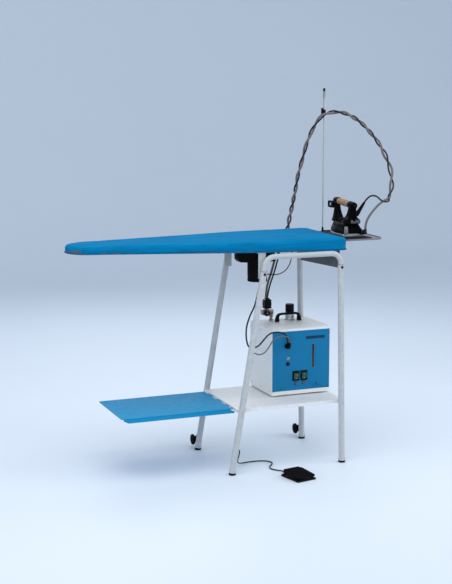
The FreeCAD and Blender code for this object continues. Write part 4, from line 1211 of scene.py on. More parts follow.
for low, high in solids("indicator_lamps"):
    centre = (low + high) / 2
    pilot = centre.z > 0.38
    name = "pilot" if pilot else ("lamp_left" if centre.x < at(-126, 0, 0).x else "lamp_right")
    face = Vector((centre.x, FRONT_Y, centre.z))
    ring = Shell()
    ring.lathe(face, (0, -1, 0),
               [(0.0043, -0.011), (0.0043, 0.0), (0.0064, 0.0), (0.0066, 0.0006), (0.0062, 0.0022),
                                  (0.0056, 0.0026), (0.0052, 0.0018), (0.0048, 0.0018)], 40)
    ring.make(name + "_bezel", "station", "chrome_ring" if pilot else "black_plastic", ("indicator_lamps",))
    dome = Shell()
    dome.lathe(face, (0, -1, 0), [(0.0047, 0.0014), (0.0047, 0.0028), (0.0043, 0.0038), (0.0033, 0.0043),
                                  (0.0018, 0.00455), (0.0, 0.0046)], 40)
    dome.make(name + "_lens", "station", "yellow_lens" if pilot else "orange_lens")

reset_low, reset_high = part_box("reset_button")
reset_face = Vector(((reset_low.x + reset_high.x) / 2, FRONT_Y, (reset_low.z + reset_high.z) / 2))
bush = Shell()
bush.lathe(reset_face, (0, -1, 0),
           [(0.0037, -0.014), (0.0054, -0.014), (0.0054, 0.0), (0.0078, 0.0), (0.0080, 0.0008),
                                    (0.0074, 0.0034), (0.0060, 0.0040), (0.0037, 0.0040)], 40)
bush.make("reset_bush", "station", "black_plastic")
button = Shell()
button.lathe(reset_face, (0, -1, 0),
             [(0.0034, -0.009), (0.0034, 0.0058), (0.0030, 0.0066), (0.0016, 0.0070), (0.0, 0.0070)], 32)
button.make("reset_button_cap", "reset_button", "red_plastic", ("reset_button",))

gland_axis = Vector((at(-185, 0, 0).x, FRONT_Y, at(0, 0, 474).z))
gland = Shell()
gland.lathe(gland_axis, (0, -1, 0),
            [(0.0078, -0.012), (0.0078, 0.0), (0.0108, 0.0), (0.0110, 0.0006), (0.0110, 0.0028),
                                     (0.0100, 0.0032), (0.0080, 0.0034), (0.0078, 0.016)], 40)
bend = [gland_axis + Vector((0, -0.010, 0)), gland_axis + Vector((0, -0.014, 0.0)),
        gland_axis + Vector((0, -0.0158, 0.002)),
        gland_axis + Vector((0, -0.016, 0.006)), gland_axis + Vector((0, -0.016, 0.0158))]
gland.tube(bend, lambda s: 0.0082 - 0.0006 * s, 28)
for k in range(4):
    gland.lathe(gland_axis + Vector((0, -0.016, 0.0035 + 0.0033 * k)), UP,
                [(0.0070, 0.0), (0.0084, 0.0003), (0.0086, 0.0011), (0.0084, 0.0019), (0.0070, 0.0022)], 32)
gland.lathe(gland_axis + Vector((0, -0.016, -0.008)), UP,
            [(0.0, 0.0), (0.0050, 0.0004), (0.0072, 0.0020), (0.0078, 0.0046), (0.0076, 0.008)], 32)
gland.make("cable_gland_elbow", "station", "black_rubber", ("cable_gland",))

side_screws = Shell()
for side_x, direction in ((CABINET_LOW.x, -1), (CABINET_HIGH.x, 1)):
    for along in (0.018, 0.115, 0.212):
        for up in (0.018, 0.259):
            screw(side_screws, Vector((side_x, CABINET_LOW.y + along, CABINET_LOW.z + 0.006 + up)),
                  (direction, 0, 0), 0.0030, 0.0018)
for screw_x in (CABINET_LOW.x + 0.016, CABINET_HIGH.x - 0.016):
    for up in (0.018, 0.259):
        screw(side_screws, Vector((screw_x, CABINET_HIGH.y, CABINET_LOW.z + 0.006 + up)), (0, 1, 0), 0.0030,
              0.0018)
side_screws.make("cabinet_screws", "station", "zinc")

inlet_low, inlet_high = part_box("mains_inlet")
inlet = Shell()
upright = [Vector((inlet_low.x - 0.003, CABINET_HIGH.y, inlet_low.z - 0.003)),
           Vector((inlet_high.x + 0.003, CABINET_HIGH.y, inlet_low.z - 0.003)),
           Vector((inlet_high.x + 0.003, CABINET_HIGH.y, inlet_high.z + 0.003)),
           Vector((inlet_low.x - 0.003, CABINET_HIGH.y, inlet_high.z + 0.003))]
outer = rounded(upright, 0.003, 4)
back = Vector((0, 1, 0))
hole = inset_ring(outer, back, 0.0065)
inlet.loft([outer, [p + back * 0.0012 for p in outer],
            [p + back * 0.0018 for p in inset_ring(outer, back, 0.0006)],
            [p + back * 0.0018 for p in inset_ring(outer, back, 0.006)], [p + back * 0.0010 for p in hole],
            [p - back * 0.014 for p in hole]])
for pin_x, pin_z in ((-0.007, -0.0015), (0.007, -0.0015), (0.0, 0.0025)):
    pin = Vector(((inlet_low.x + inlet_high.x) / 2 + pin_x, CABINET_HIGH.y - 0.006,
                  (inlet_low.z + inlet_high.z) / 2 + pin_z))
    inlet.block(pin - Vector((0.001, 0.008, 0.002)), pin + Vector((0.001, 0.004, 0.002)), 0.0004)
inlet.make("mains_inlet_socket", "station", "black_plastic", ("mains_inlet",))


# carry handle: one moulded bow with broad feet
def bow_section(centre, tangent, width, depth, count=28):
    """Rounded oblong section square to the tangent, with its width in the plane of the bow."""
    side = Vector((0, 1, 0))
    across_bow = tangent.cross(side).normalized()
    ring = []
    for i in range(count):
        a = 2 * math.pi * i / count
        c, s = math.cos(a), math.sin(a)
        ring.append(centre + across_bow * (width / 2 * math.copysign(abs(c) ** 0.6, c))
                    + side * (depth / 2 * math.copysign(abs(s) ** 0.6, s)))
    return ring


handle_low, handle_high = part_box("carry_handle")
hx0 = handle_low.x + 0.010
hy = (handle_low.y + handle_high.y) / 2
stations = [(hx0, handle_low.z, 0, 0.0200, 0.0190), (hx0, handle_low.z + 0.004, 0, 0.0200, 0.0190),
            (hx0 + 0.0005, handle_low.z + 0.012, 0, 0.0165, 0.0170),
            (hx0 + 0.001, handle_high.z - 0.018, 0.05, 0.0140, 0.0160),
            (hx0 + 0.004, handle_high.z - 0.0095, 0.65, 0.0120, 0.0150),
            (hx0 + 0.012, handle_high.z - 0.0055, 1.25, 0.0105, 0.0145),
            (hx0 + 0.024, handle_high.z - 0.0047, 1.5, 0.0094, 0.0140)]
bow = [bow_section(Vector((x, hy, z)), Vector((math.sin(a), 0, math.cos(a))), w, d) for x, z, a, w,
       d in stations]
mirror_x = handle_low.x + handle_high.x
bow += [bow_section(Vector((mirror_x - x, hy, z)), Vector((math.sin(a), 0, -math.cos(a))), w, d)
        for x, z, a, w, d in reversed(stations)]
handle = Shell()
handle.loft(bow)
handle.make("carry_handle_bow", "station", "black_plastic", ("carry_handle",), sharp=50, subdivide=1)
handle_screws = Shell()
for screw_x in (hx0, mirror_x - hx0):
    for screw_y in (-0.0125, 0.0125):
        screw(handle_screws, Vector((screw_x, hy + screw_y, handle_low.z - 0.0001)), UP, 0.0026, 0.0018)
handle_screws.make("carry_handle_screws", "station", "zinc")

# filler neck and cap
neck_low, neck_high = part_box("filler_neck")
neck_axis = Vector(((neck_low.x + neck_high.x) / 2, (neck_low.y + neck_high.y) / 2, CABINET_HIGH.z))
neck = Shell()
neck.lathe(neck_axis, UP,
           [(0.0130, -0.010), (0.0196, -0.010), (0.0200, 0.0), (0.0238, 0.0001), (0.0240, 0.0008),
            (0.0240, 0.0032),
                           (0.0232, 0.0040), (0.0204, 0.0042), (0.0200, 0.0052), (0.0200, 0.0110),
                           (0.0192, 0.0118),
                           (0.0192, 0.0134), (0.0200, 0.0142), (0.0200, 0.0258), (0.0192, 0.0278),
                           (0.0136, 0.0280), (0.0130, 0.0272)], 64)
neck.make("filler_neck_collar", "station", "zinc", ("filler_neck",))
cap_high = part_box("filler_cap")[1]
cap_base = neck_axis + Vector((0, 0, neck_high.z - CABINET_HIGH.z + 0.0003))
rise = cap_high.z - cap_base.z
cap = Shell()
cap.lathe(cap_base, UP, [(0.0, -0.0172), (0.0118, -0.0172), (0.0125, -0.0160), (0.0125, 0.0), (0.0176, 0.0),
                         (0.0184, 0.0008), (0.0185, 0.0030),
                         (0.0183, 0.0046), (0.0185, 0.0062), (0.0184, rise - 0.0030), (0.0176, rise - 0.0010),
                         (0.0160, rise), (0.0120, rise - 0.0004), (0.0112, rise - 0.0012),
                         (0.0, rise - 0.0012)],
          144, flutes(12, 0.075, 0.01835))
cap.make("filler_cap_knob", "filler_cap", "black_plastic", ("filler_cap",), sharp=40)

# steam valve, knob and solenoid
knob_low, knob_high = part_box("steam_knob")
knob_back = Vector(((knob_low.x + knob_high.x) / 2, knob_high.y, (knob_low.z + knob_high.z) / 2))
depth = knob_high.y - knob_low.y
knob = Shell()
knob.lathe(knob_back, (0, -1, 0),
           [(0.0031, 0.0), (0.0115, 0.0), (0.0124, 0.0010), (0.0126, 0.0030), (0.0134, 0.0042),
            (0.0135, depth - 0.0030),
                                   (0.0128, depth - 0.0010), (0.0115, depth), (0.0070, depth - 0.0006),
                                   (0.0060, depth - 0.0014),
                                   (0.0031, depth - 0.0014)], 128, flutes(8, 0.11, 0.0130))
knob.make("steam_knob_grip", "steam_knob", "black_plastic", ("steam_knob",), sharp=40)
pointer = Shell()
pointer.block(knob_back + Vector((-0.0006, -depth - 0.0001, 0.0072)),
              knob_back + Vector((0.0006, -depth + 0.0012, 0.0118)), 0.0002, 1)
pointer.make("steam_knob_pointer", "steam_knob", "mark_white")

valve = Shell()
stem = at(-168, 352, 545)
valve.lathe(stem - UP * 0.007, UP, [(0.0045, 0.0), (0.0060, 0.0), (0.0060, 0.027), (0.0045, 0.027)], 32)
for z0, z1, r in ((0.0003, 0.0060, 0.0096), (0.0160, 0.0245, 0.0086)):
    rings = [circle(stem + UP * z, UP, r * k, 36, hexagon) for z,
             k in ((z0, 0.95), (z0 + 0.0006, 1), (z1 - 0.0006, 1), (z1, 0.95))]
    valve.loft(rings)
valve.block(at(-212, 342, 571), at(-160, 362, 593.6), 0.0028, 3)
valve.lathe(at(-188, 350, 593), UP, [(0.003, 0.0), (0.0070, 0.0), (0.0070, 0.0062), (0.003, 0.0062)], 36)
for place, direction, reach in ((at(-201, 343, 584), (0, -1, 0), 0.0118),
                                (at(-180, 361, 582), (0, 1, 0), 0.012)):
    d = Vector(direction)
    rings = [circle(place + d * h * reach, d, r, 36, hexagon) for h,
             r in ((0, 0.0096), (0.08, 0.0100), (0.55, 0.0100), (0.62, 0.0095))]
    valve.loft(rings)
    valve.lathe(place + d * reach * 0.6, d,
                [(0.003, 0.0), (0.0078, 0.0), (0.0078, reach * 0.36), (0.0068, reach * 0.4),
                 (0.003, reach * 0.4)], 36)
elbow = [at(-180, 360, 582), at(-180, 374, 582), at(-180, 378, 583.5), at(-180, 380, 587),
         at(-180, 380, 592), at(-180, 380, 622)]
valve.tube(elbow, 0.0055, 24)
for z0, z1 in ((600, 609), (622, 640)):
    rings = [circle(at(-180, 380, z), UP, r, 36, hexagon if z0 == 600 else None)
             for z, r in ((z0, 0.0074), (z0 + 0.6, 0.0078), (z1 - 0.6, 0.0078 if z0 == 600 else 0.0068),
                          (z1, 0.0074 if z0 == 600 else 0.0064))]
    valve.loft(rings)
for k in range(5):
    valve.lathe(at(-180, 380, 624 + 3 * k), UP,
                [(0.0060, 0.0), (0.0072, 0.0008), (0.0066, 0.0024), (0.0060, 0.0026)], 32)
valve.make("steam_valve_body", "station", "brass_metal", ("valve_body",))
spindle = Shell()
spindle.lathe(at(-201, 332, 584), (0, -1, 0),
              [(0.0, -0.004), (0.0029, -0.004), (0.0029, 0.0185), (0.0022, 0.0195), (0.0, 0.0196)], 24)
spindle.make("steam_valve_spindle", "station", "zinc")

coil_low, coil_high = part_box("solenoid_coil")
coil_top = at(0, 0, 637).z
outline = rounded([Vector((coil_low.x, coil_low.y, coil_low.z)),
                   Vector((coil_high.x, coil_low.y, coil_low.z)),
                   Vector((coil_high.x, coil_high.y, coil_low.z)),
                   Vector((coil_low.x, coil_high.y, coil_low.z))], 0.005, 5)
coil = Shell()
height = coil_top - coil_low.z
levels = [(0.0012, 0.0), (0.0002, 0.0012), (0.0, 0.004), (0.0, 0.0060), (0.0014, 0.0068), (0.0014, 0.0100),
          (0.0, 0.0108),
          (0.0, height - 0.0110), (0.0014, height - 0.0102), (0.0014, height - 0.0070),
          (0.0, height - 0.0062), (0.0, height - 0.003),
          (0.0010, height - 0.0006), (0.0026, height)]
coil.loft([[p + UP * z for p in inset_ring(outline, UP, inset)] for inset, z in levels])
plug_low, plug_high = at(-196, 341, 637), at(-176, 361, 641)
coil.block(plug_low - UP * 0.001, plug_high, 0.0022, 3)
coil.lathe(at(-186, 351, 640), UP,
           [(0.0, 0.0), (0.0078, 0.0), (0.0080, 0.0010), (0.0066, 0.0028), (0.0040, 0.0036), (0.0, 0.0036)],
           36)
coil.make("solenoid_coil_case", "station", "black_plastic", ("solenoid_coil",), sharp=40)
nut = Shell()
rings = [circle(at(-199, 351, 637), UP, 0.0036, 36, hexagon),
         circle(at(-199, 351, 639.4), UP, 0.0036, 36, hexagon),
         circle(at(-199, 351, 640), UP, 0.0030, 36, hexagon)]
nut.loft(rings)
nut.make("solenoid_nut", "station", "zinc")

# ------------------------------------------------------------------ iron
SOLE_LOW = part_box("iron_soleplate")[0]
BODY_LOW, BODY_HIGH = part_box("iron_body")
IRON_X = (BODY_LOW.x + BODY_HIGH.x) / 2
IRON_BASE = Vector((IRON_X, BODY_LOW.y - 0.003, SOLE_LOW.z))


def iron(x, y, z):
    """A place on the iron: millimetres right of its middle, towards the nose, above the plate."""
    return IRON_BASE + Vector((x, y, z)) * MM


def iron_outline(inset, z, soften=4.0, count=26):
    """Plan of the iron at a height: square heel with eased corners, bowed sides, pointed nose."""
    w = 50.0 - inset
    heel, nose = inset, 212.0 - inset * 1.8
    mid = (heel + nose) / 2
    right = [(w, mid - 20 + (nose - mid + 20) * 0)]
    start, end = Vector((w, mid - 20)), Vector((0, nose))
    bulge = Vector((w * 0.66, mid + 45))
    control = 2 * bulge - (start + end) / 2
    curve = [start * (1 - t) ** 2 + control * (2 * t * (1 - t)) + end * t ** 2
             for t in (k / count for k in range(count))]
    corner = []
    for k in range(7):
        a = math.radians(-90 + 90 * k / 6)
        corner.append(Vector((w - soften + soften * math.cos(a), heel + soften + soften * math.sin(a))))
    side = [Vector((w, heel + soften + (mid - 20 - heel - soften) * k / 6)) for k in range(1, 6)]
    right = [Vector((w * 0.4, heel)), Vector((w * 0.75, heel))] + corner + side + curve
    left = [Vector((-p.x, p.y)) for p in reversed(right)]
    return [iron(p.x, p.y, z) for p in right + [Vector((0, nose - 0.2))] + left]


sole = Shell()
sole.loft([iron_outline(i, z) for i,
           z in ((1.2, 0.0), (0.3, 0.5), (0.0, 1.6), (0.2, 9.0), (0.8, 10.2), (2.0, 10.6), (2.4, 12.2))])
sole.make("iron_sole", "station", "sole_alu", ("iron_soleplate",))
skirt = Shell()
skirt.loft([iron_outline(i, z, s) for i, z, s in (
    (4.0, 11.8, 4), (2.6, 12.6, 4), (2.4, 15.0, 5), (3.2, 20.0, 6), (5.4, 26.0, 8), (8.4, 32.0, 9),
    (9.6, 33.6, 10), (9.6, 34.8, 10),
    (11.6, 35.6, 10), (13.4, 41.0, 11), (16.4, 48.0, 12), (19.4, 52.6, 12), (23.0, 54.6, 12),
    (28.0, 55.2, 12))])
skirt.make("iron_bonnet", "station", "bakelite", ("iron_body",), sharp=28)


def oval(cy, z, rx, ry, squareness=0.82, count=40):
    """Level rounded oblong ring on the middle line of the iron."""
    ring = []
    for i in range(count):
        a = 2 * math.pi * i / count
        c, s = math.cos(a), math.sin(a)
        ring.append(iron(rx * math.copysign(abs(c) ** squareness, c),
                         cy + ry * math.copysign(abs(s) ** squareness, s), z))
    return ring


def post_rings(base, top, z0, z1, steps=14):
    """Foot flared like a trumpet, drawn in to the top. base and top are (y, half width, half length)."""
    rings = []
    for k in range(steps + 1):
        t = k / steps
        flare = (1 - t) ** 2.4
        y, rx, ry = (top[i] + (base[i] - top[i]) * flare for i in range(3))
        rings.append(oval(y, z0 + (z1 - z0) * t, rx, ry))
    return rings


frame_shell = Shell()
frame_shell.loft(post_rings((142, 24, 42), (156, 11.5, 14), 52, 134))
frame_shell.loft(post_rings((50, 30, 48), (19, 13, 24), 52, 129))
frame_shell.loft([oval(97, z, rx, ry) for z, rx, ry in
                  ((52, 18, 40), (58, 17, 37), (64, 15.5, 33), (69, 13, 27), (71.5, 9.5, 22), (72, 6, 17))])
heel_block = [oval(22 + k, z, rx, 21.5 - k * 0.4, 0.35) for k, (z, rx) in
              enumerate(((53, 31), (55, 31.5), (71, 30), (73, 28.5), (75, 24), (84, 19)))]
frame_shell.loft(heel_block)
grip_dir = (iron(0, 140, 136) - iron(0, 40, 130)).normalized()
front_end = iron(0, 140.2, 136)
rear_end = iron(0, 39.8, 130)
frame_shell.lathe(front_end, grip_dir,
                  [(0.0050, -0.0002), (0.0145, -0.0002), (0.0150, 0.0012), (0.0150, 0.0100), (0.0146, 0.0140),
                                       (0.0138, 0.0260), (0.0128, 0.0320), (0.0100, 0.0352), (0.0, 0.0360)],
                                       48)
frame_shell.lathe(rear_end, -grip_dir,
                  [(0.0050, -0.0002), (0.0145, -0.0002), (0.0150, 0.0012), (0.0150, 0.0100), (0.0147, 0.0220),
                                       (0.0142, 0.0360), (0.0130, 0.0420), (0.0095, 0.0452), (0.0, 0.0460)],
                                       48)
frame_shell.make("iron_handle_moulding", "station", "bakelite", ("iron_handle_frame",), sharp=40)

guard = Shell()
guard_x = 0.013
outer = rounded([iron(0, 174, 104), iron(0, 222, 104), iron(0, 222, 132), iron(0, 174, 132)], 0.004, 5)
hole = rounded([iron(0, 190, 110), iron(0, 218, 110), iron(0, 218, 126), iron(0, 190, 126)], 0.0025, 5)
right, left = Vector((guard_x, 0, 0)), Vector((-guard_x, 0, 0))
soft = 0.0010
side_dir = Vector((1, 0, 0))
guard.loft([[p + right for p in hole], [p + right for p in inset_ring(hole, side_dir, -soft)],
            [p + right for p in inset_ring(outer, side_dir, soft)],
            [p + right * (1 - soft / guard_x) for p in outer],
            [p + left * (1 - soft / guard_x) for p in outer],
            [p + left for p in inset_ring(outer, side_dir, soft)],
            [p + left for p in inset_ring(hole, side_dir, -soft)], [p + left for p in hole],
            [p + right for p in hole]], caps=False)
guard.make("iron_thumb_guard", "station", "bakelite", sharp=40)
press = Shell()
press.block(iron(-9, 196, 111.7), iron(9, 211.6, 124.3), 0.0016, 3)
press.tube([iron(0, 181, 118), iron(0, 197, 118)], 0.0039, 20)
for k in range(4):
    press.block(iron(-7.5, 198.5 + 3.2 * k, 124.0), iron(7.5, 200.1 + 3.2 * k, 124.5), 0.0002, 1)
press.make("steam_button_cap", "steam_button", "white_plastic", ("steam_button",))

grip = Shell()
length = (front_end - rear_end).length
grip.lathe(rear_end, grip_dir,
           [(0.0, 0.0002)] + [(0.0126 + 0.0011 * math.sin(math.pi * k / 16) ** 0.7,
                               0.0002 + (length - 0.0004) * k / 16)
                                                 for k in range(17)] + [(0.0, length - 0.0002)], 56)
grip.make("iron_cork_handle", "station", "cork", ("iron_cork_grip",), sharp=60)

label = Shell()
label.plate(rounded([iron(-15, 0.7, 55.8), iron(29, 0.7, 55.8), iron(29, 0.7, 70), iron(-15, 0.7, 70)],
                    0.002),
            (0, -1, 0), 0.0009, 0.0003)
for corner_x in (-12, 26):
    label.lathe(iron(corner_x, -0.1, 63), (0, -1, 0), [(0.0013, 0.0), (0.0012, 0.0004), (0.0, 0.0007)], 16)
label.make("iron_rating_plate", "station", "label_grey")
tab = Shell()
tab.plate(rounded([iron(-47, -0.2, 10.5), iron(-27, -0.2, 10.5), iron(-29, 2.6, 44), iron(-43, 2.6, 44)],
                  0.003),
          (0, -1, 0), 0.0016, 0.0005)
tab.make("iron_heel_tab", "station", "polished")
iron_screws = Shell()
for x, y, z in ((-36, 0.4, 36), (36, 0.4, 22)):
    screw(iron_screws, iron(x, y + 1.5, z), (0, -1, 0), 0.0028, 0.0034)
iron_screws.make("iron_screws", "station", "zinc")
cap_screws = Shell()
for x, y, z, direction in ((0, 176.2, 136.2, grip_dir), (0, -6.2, 127.3, -grip_dir)):
    screw(cap_screws, iron(x, y, z) - direction * 0.0012, direction, 0.0042, 0.0022)
cap_screws.make("iron_cap_screws", "station", "black_oxide")

inlet = Shell()
inlet.block(iron(28, -14, 9.3), iron(50, -0.3, 29), 0.0022, 3)
inlet.block(iron(31, -5, 7.5), iron(47, 3.5, 11.6), 0.0010)
inlet.lathe(iron(43, -18, 10.5), UP,
            [(0.0, 0.0), (0.0058, 0.0), (0.0064, 0.0008), (0.0065, 0.0120), (0.0058, 0.0130),
                                      (0.0056, 0.0150), (0.0060, 0.0155), (0.0060, 0.0215), (0.0054, 0.0222),
                                      (0.0, 0.0222)], 36)
rings = [circle(iron(43, -18, z), UP, r, 36, hexagon) for z,
         r in ((12, 0.0069), (12.6, 0.0074), (17.4, 0.0074), (18, 0.0069))]
inlet.loft(rings)
inlet.make("iron_steam_inlet", "station", "black_oxide")

boot_start, boot_end = at(108, 106, 1014), at(126.5, 78.6, 1063.5)
boot_axis = boot_end - boot_start
boot = Shell()
profile = [(0.0, -0.006), (0.0086, -0.006), (0.0092, 0.0), (0.0092, 0.008), (0.0080, 0.0095)]
for k in range(9):
    z = 0.0105 + k * 0.0048
    r = 0.0082 - k * 0.00034
    profile += [(r - 0.0013, z), (r, z + 0.0005), (r, z + 0.0033), (r - 0.0013, z + 0.0038)]
reach = boot_axis.length
profile += [(0.0050, 0.0545), (0.0046, reach - 0.0006), (0.0038, reach), (0.0, reach)]
boot.lathe(boot_start, boot_axis, profile, 32)
boot.make("iron_cable_boot", "station", "black_rubber", ("cable_boot",), sharp=40)

# ------------------------------------------------------------------ iron rest and hose pole
MAT_LOW, MAT_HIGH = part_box("rest_mat")
mat = Shell()
outline = rounded([MAT_LOW, Vector((MAT_HIGH.x, MAT_LOW.y, MAT_LOW.z)),
                   Vector((MAT_HIGH.x, MAT_HIGH.y, MAT_LOW.z)),
                   Vector((MAT_LOW.x, MAT_HIGH.y, MAT_LOW.z))], 0.008, 5)
thick = MAT_HIGH.z - MAT_LOW.z
mat.loft([[p + UP * z for p in inset_ring(outline, UP, i)] for i, z in
          ((0.0, 0.0), (0.0, thick - 0.0006), (0.0006, thick), (0.0034, thick), (0.0040, thick - 0.0014))])
pitch = 0.0085
count = int((MAT_HIGH.y - MAT_LOW.y - 0.012) / pitch)
for k in range(count):
    y = MAT_LOW.y + 0.006 + pitch * (k + 0.15)
    mat.block((MAT_LOW.x + 0.0042, y, MAT_LOW.z + 0.002),
              (MAT_HIGH.x - 0.0042, y + pitch * 0.62, MAT_HIGH.z - 0.0001), 0.0009, 2)
mat.make("rest_mat_ribbed", "station", "silicone", ("rest_mat",))

pole_low, pole_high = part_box("hose_pole")
fitting = solids("pole_fittings")
socket_low, socket_high = fitting[0] if fitting[0][0].z < fitting[-1][0].z else fitting[-1]
tip_low, tip_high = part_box("pole_tip")
px, py = (tip_low.x + tip_high.x) / 2, (tip_low.y + tip_high.y) / 2
pole = Shell()
reach = pole_high.z - pole_low.z
pole.lathe(Vector((px, py, pole_low.z)), UP,
           [(0.0, 0.0), (0.0025, 0.0), (0.0025, reach - 0.028), (0.0045, reach - 0.0272),
            (0.0045, reach - 0.0006),
                                              (0.0040, reach), (0.0, reach)], 28)
upper = at(0, 0, 1440).z
pole.lathe(Vector((px, py, upper)), UP,
           [(0.0040, 0.0), (0.0045, 0.0004), (0.0045, tip_low.z - upper), (0.0, tip_low.z - upper)], 28)
pole.make("hose_pole_spring_rod", "station", "stainless", ("hose_pole",))
tip = Shell()
rise = tip_high.z - tip_low.z
tip.lathe(Vector((px, py, tip_low.z)), UP,
          [(0.0, 0.0002), (0.0044, 0.0002), (0.0049, 0.0008), (0.0049, rise - 0.004), (0.0042, rise - 0.0018),
                                            (0.0026, rise - 0.0004), (0.0, rise)], 32)
tip.make("hose_pole_tip", "station", "black_plastic", ("pole_tip",))

socket = Shell()
z0, z1 = socket_low.z, socket_high.z
foot_outline = rounded([Vector((px - 0.006, py - 0.005, z0)), Vector((px + 0.044, py - 0.005, z0)),
                        Vector((px + 0.044, py + 0.002, z0)), Vector((px - 0.006, py + 0.002, z0))], 0.0018,
                        4)
socket.plate(foot_outline, UP, 0.0034, 0.0008)
socket.lathe(Vector((px, py, z0)), UP,
             [(0.0026, 0.002), (0.0042, 0.002), (0.0044, 0.0028), (0.0044, z1 - z0 - 0.0010),
              (0.0038, z1 - z0),
                                        (0.0030, z1 - z0), (0.0026, z1 - z0 - 0.0006)], 36)
socket.make("pole_socket", "station", "black_plastic", ("pole_fittings",))
clip_low = at(0, 0, 1417).z
clip = Shell()
clip.lathe(Vector((px, py, clip_low)), UP,
           [(0.0046, 0.0), (0.0072, 0.0), (0.0076, 0.0008), (0.0076, 0.0152), (0.0072, 0.016),
            (0.0046, 0.016)], 40)
clip.block((px - 0.016, py - 0.0080, at(0, 0, 1412).z), (px - 0.0055, py - 0.0040, at(0, 0, 1440).z), 0.0012,
           2)
clip.make("hose_clip", "station", "black_plastic")

# ------------------------------------------------------------------ foot pedal
PEDAL = Matrix.Translation(at(-258, -132, 0)) @ Matrix.Rotation(math.radians(12), 4, "Z")


def pedal(x, y, z):
    """A place on the pedal, in millimetres across, towards the heel of the foot and up."""
    return PEDAL @ (Vector((x, y, z)) * MM)


def tread_z(y):
    """Height of the top of the treadle."""
    return 20 + (y + 55) * (29 - 20) / 105


def treadle_plan(inset, drop=0.0, z=None):
    outline = rounded([Vector((-44, -55, 0)), Vector((44, -55, 0)), Vector((44, 37, 0)),
                       Vector((36.5, 37, 0)),
                       Vector((36.5, 50, 0)), Vector((-36.5, 50, 0)), Vector((-36.5, 37, 0)),
                       Vector((-44, 37, 0))],
                      [9, 9, 3, 1.5, 3, 3, 1.5, 3], 6)
    outline = inset_ring(outline, UP, inset) if inset else outline
    return [pedal(p.x, p.y, (tread_z(p.y) - drop) if z is None else z) for p in outline]


def hollow_plan(z):
    outline = rounded([Vector((-34, -50, 0)), Vector((34, -50, 0)), Vector((34, 34, 0)), Vector((33, 36, 0)),
                       Vector((30, 36, 0)), Vector((-30, 36, 0)), Vector((-33, 36, 0)), Vector((-34, 34, 0))],
                      [4, 4, 0.8, 0.8, 0.8, 0.8, 0.8, 0.8], 6)
    return [pedal(p.x, p.y, z) for p in outline]


treadle = Shell()
treadle.loft([treadle_plan(0.6, z=13.0), treadle_plan(0.0, z=13.6), treadle_plan(0.0, 2.2),
              treadle_plan(0.6, 0.8),
              treadle_plan(1.8, 0.1), treadle_plan(2.6, 0.0), treadle_plan(3.4, 0.9),
              treadle_plan(6.0, 1.0)], caps=False)
treadle.face(treadle.ring(treadle_plan(6.0, 1.0)))
underside = treadle.ring(treadle_plan(0.6, z=13.0))
cavity = [treadle.ring(hollow_plan(z)) for z in (13.0, 17.0)]
treadle.bridge(underside, cavity[0])
treadle.bridge(cavity[0], cavity[1])
treadle.face(cavity[1])
for k in range(11):
    y = -46 + 8.2 * k
    low, high = Vector((-0.036, y * MM, 0)), Vector((0.036, (y + 3.6) * MM, 0.0016))
    lift_up = Matrix.Translation((0, y * MM, (tread_z(y) - 1.1) * MM))
    tilt = Matrix.Rotation(math.atan2(9, 105), 4, "X")
    slope = lift_up @ tilt @ Matrix.Translation((0, -y * MM, 0))
    treadle.block(low, high, 0.0006, 2, PEDAL @ slope)
treadle.make("pedal_treadle_ribbed", "pedal_treadle", "black_rubber", ("pedal_treadle",))
pivot = Shell()
pivot.lathe(pedal(-40.9, 45, 15), PEDAL.to_3x3() @ Vector((1, 0, 0)),
            [(0.0, -0.0008), (0.0030, -0.0008), (0.0032, 0.0), (0.0020, 0.0002), (0.0020, 0.0816),
             (0.0032, 0.0818), (0.0030, 0.0826), (0.0, 0.0826)], 24)
pivot.make("pedal_pivot_pin", "pedal_treadle", "zinc")
gland = Shell()
gland.lathe(pedal(-6, 55.5, 7), PEDAL.to_3x3() @ Vector((0, 1, 0)),
            [(0.0, 0.0), (0.0046, 0.0), (0.0046, 0.0016), (0.0038, 0.0020), (0.0044, 0.0028),
             (0.0044, 0.0042), (0.0036, 0.0046),
             (0.0040, 0.0054), (0.0040, 0.0068), (0.0033, 0.0072), (0.0036, 0.0080), (0.0036, 0.0098),
             (0.0030, 0.0106), (0.0, 0.0106)], 32)
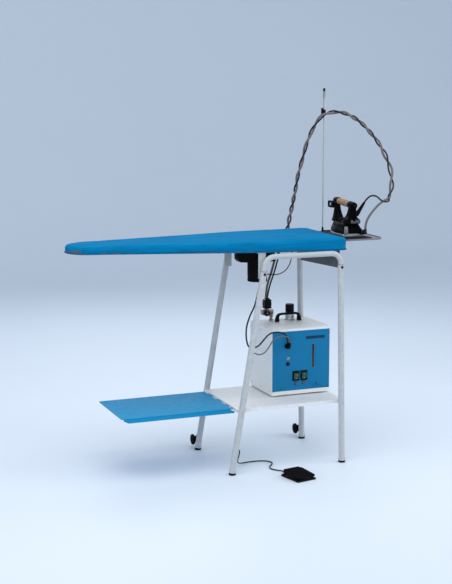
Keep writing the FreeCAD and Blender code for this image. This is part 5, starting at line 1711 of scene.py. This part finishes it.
gland.make("pedal_cable_sleeve", "station", "black_rubber")
spring_low, spring_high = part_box("pedal_spring")
spring_axis = Vector(((spring_low.x + spring_high.x) / 2, (spring_low.y + spring_high.y) / 2, 0))
helix = []
for k in range(6 * 20 + 1):
    a = 2 * math.pi * k / 20
    share = k / 120
    lift = min(1.0, max(0.0, (share - 0.08) / 0.84))
    coil_z = spring_low.z + 0.0008 + lift * (spring_high.z - spring_low.z - 0.0022)
    helix.append(spring_axis + Vector((0.0062 * math.cos(a), 0.0062 * math.sin(a), coil_z)))
spring = Shell()
spring.tube(helix, 0.0007, 10)
spring_object = spring.make("pedal_return_spring", "station", "stainless", ("pedal_spring",))
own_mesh(spring_object)

# ------------------------------------------------------------------ rims of the sheet metal


def eased(node, width, segments=2):
    """Rounds the rims of a metal part, whose corner vertices come in separated."""
    obj = NODES[node]
    weld = obj.modifiers.new("weld", "WELD")
    weld.merge_threshold = 0.00002
    rim = obj.modifiers.new("rim", "BEVEL")
    rim.width = width
    rim.segments = segments
    rim.limit_method = "ANGLE"
    rim.angle_limit = math.radians(50)
    rim.harden_normals = True


for node, width in (("boiler_cabinet", 0.0008), ("boiler_front_panel", 0.0007), ("shelf", 0.0007),
                    ("fan_duct", 0.0006),
                    ("board_supports", 0.0006), ("tray_rails", 0.0003), ("wheel_brackets", 0.0004),
                    ("rest_plate", 0.0006),
                    ("pedal_base", 0.0006), ("fan_housing", 0.0006), ("tray_hinge", 0.0003),
                    ("board_chamber", 0.0006)):
    eased(node, width)

# ------------------------------------------------------------------ finish
CARRIED = {
    "stand_paint": ["front_left_leg", "front_right_leg", "rear_left_leg", "rear_right_leg", "front_hoop",
                    "rear_hoop", "board_supports"],
    "shelf_paint": ["shelf"],
    "cabinet_paint": ["boiler_cabinet"],
}
for node, obj in NODES.items():
    record_slot = next(s["material_slot"] for s in frame["record"]["subparts"] if s["node"] == node)
    look = next((k for k, names in CARRIED.items() if node in names), record_slot)
    obj.data.materials.clear()
    obj.data.materials.append(LOOKS[look])
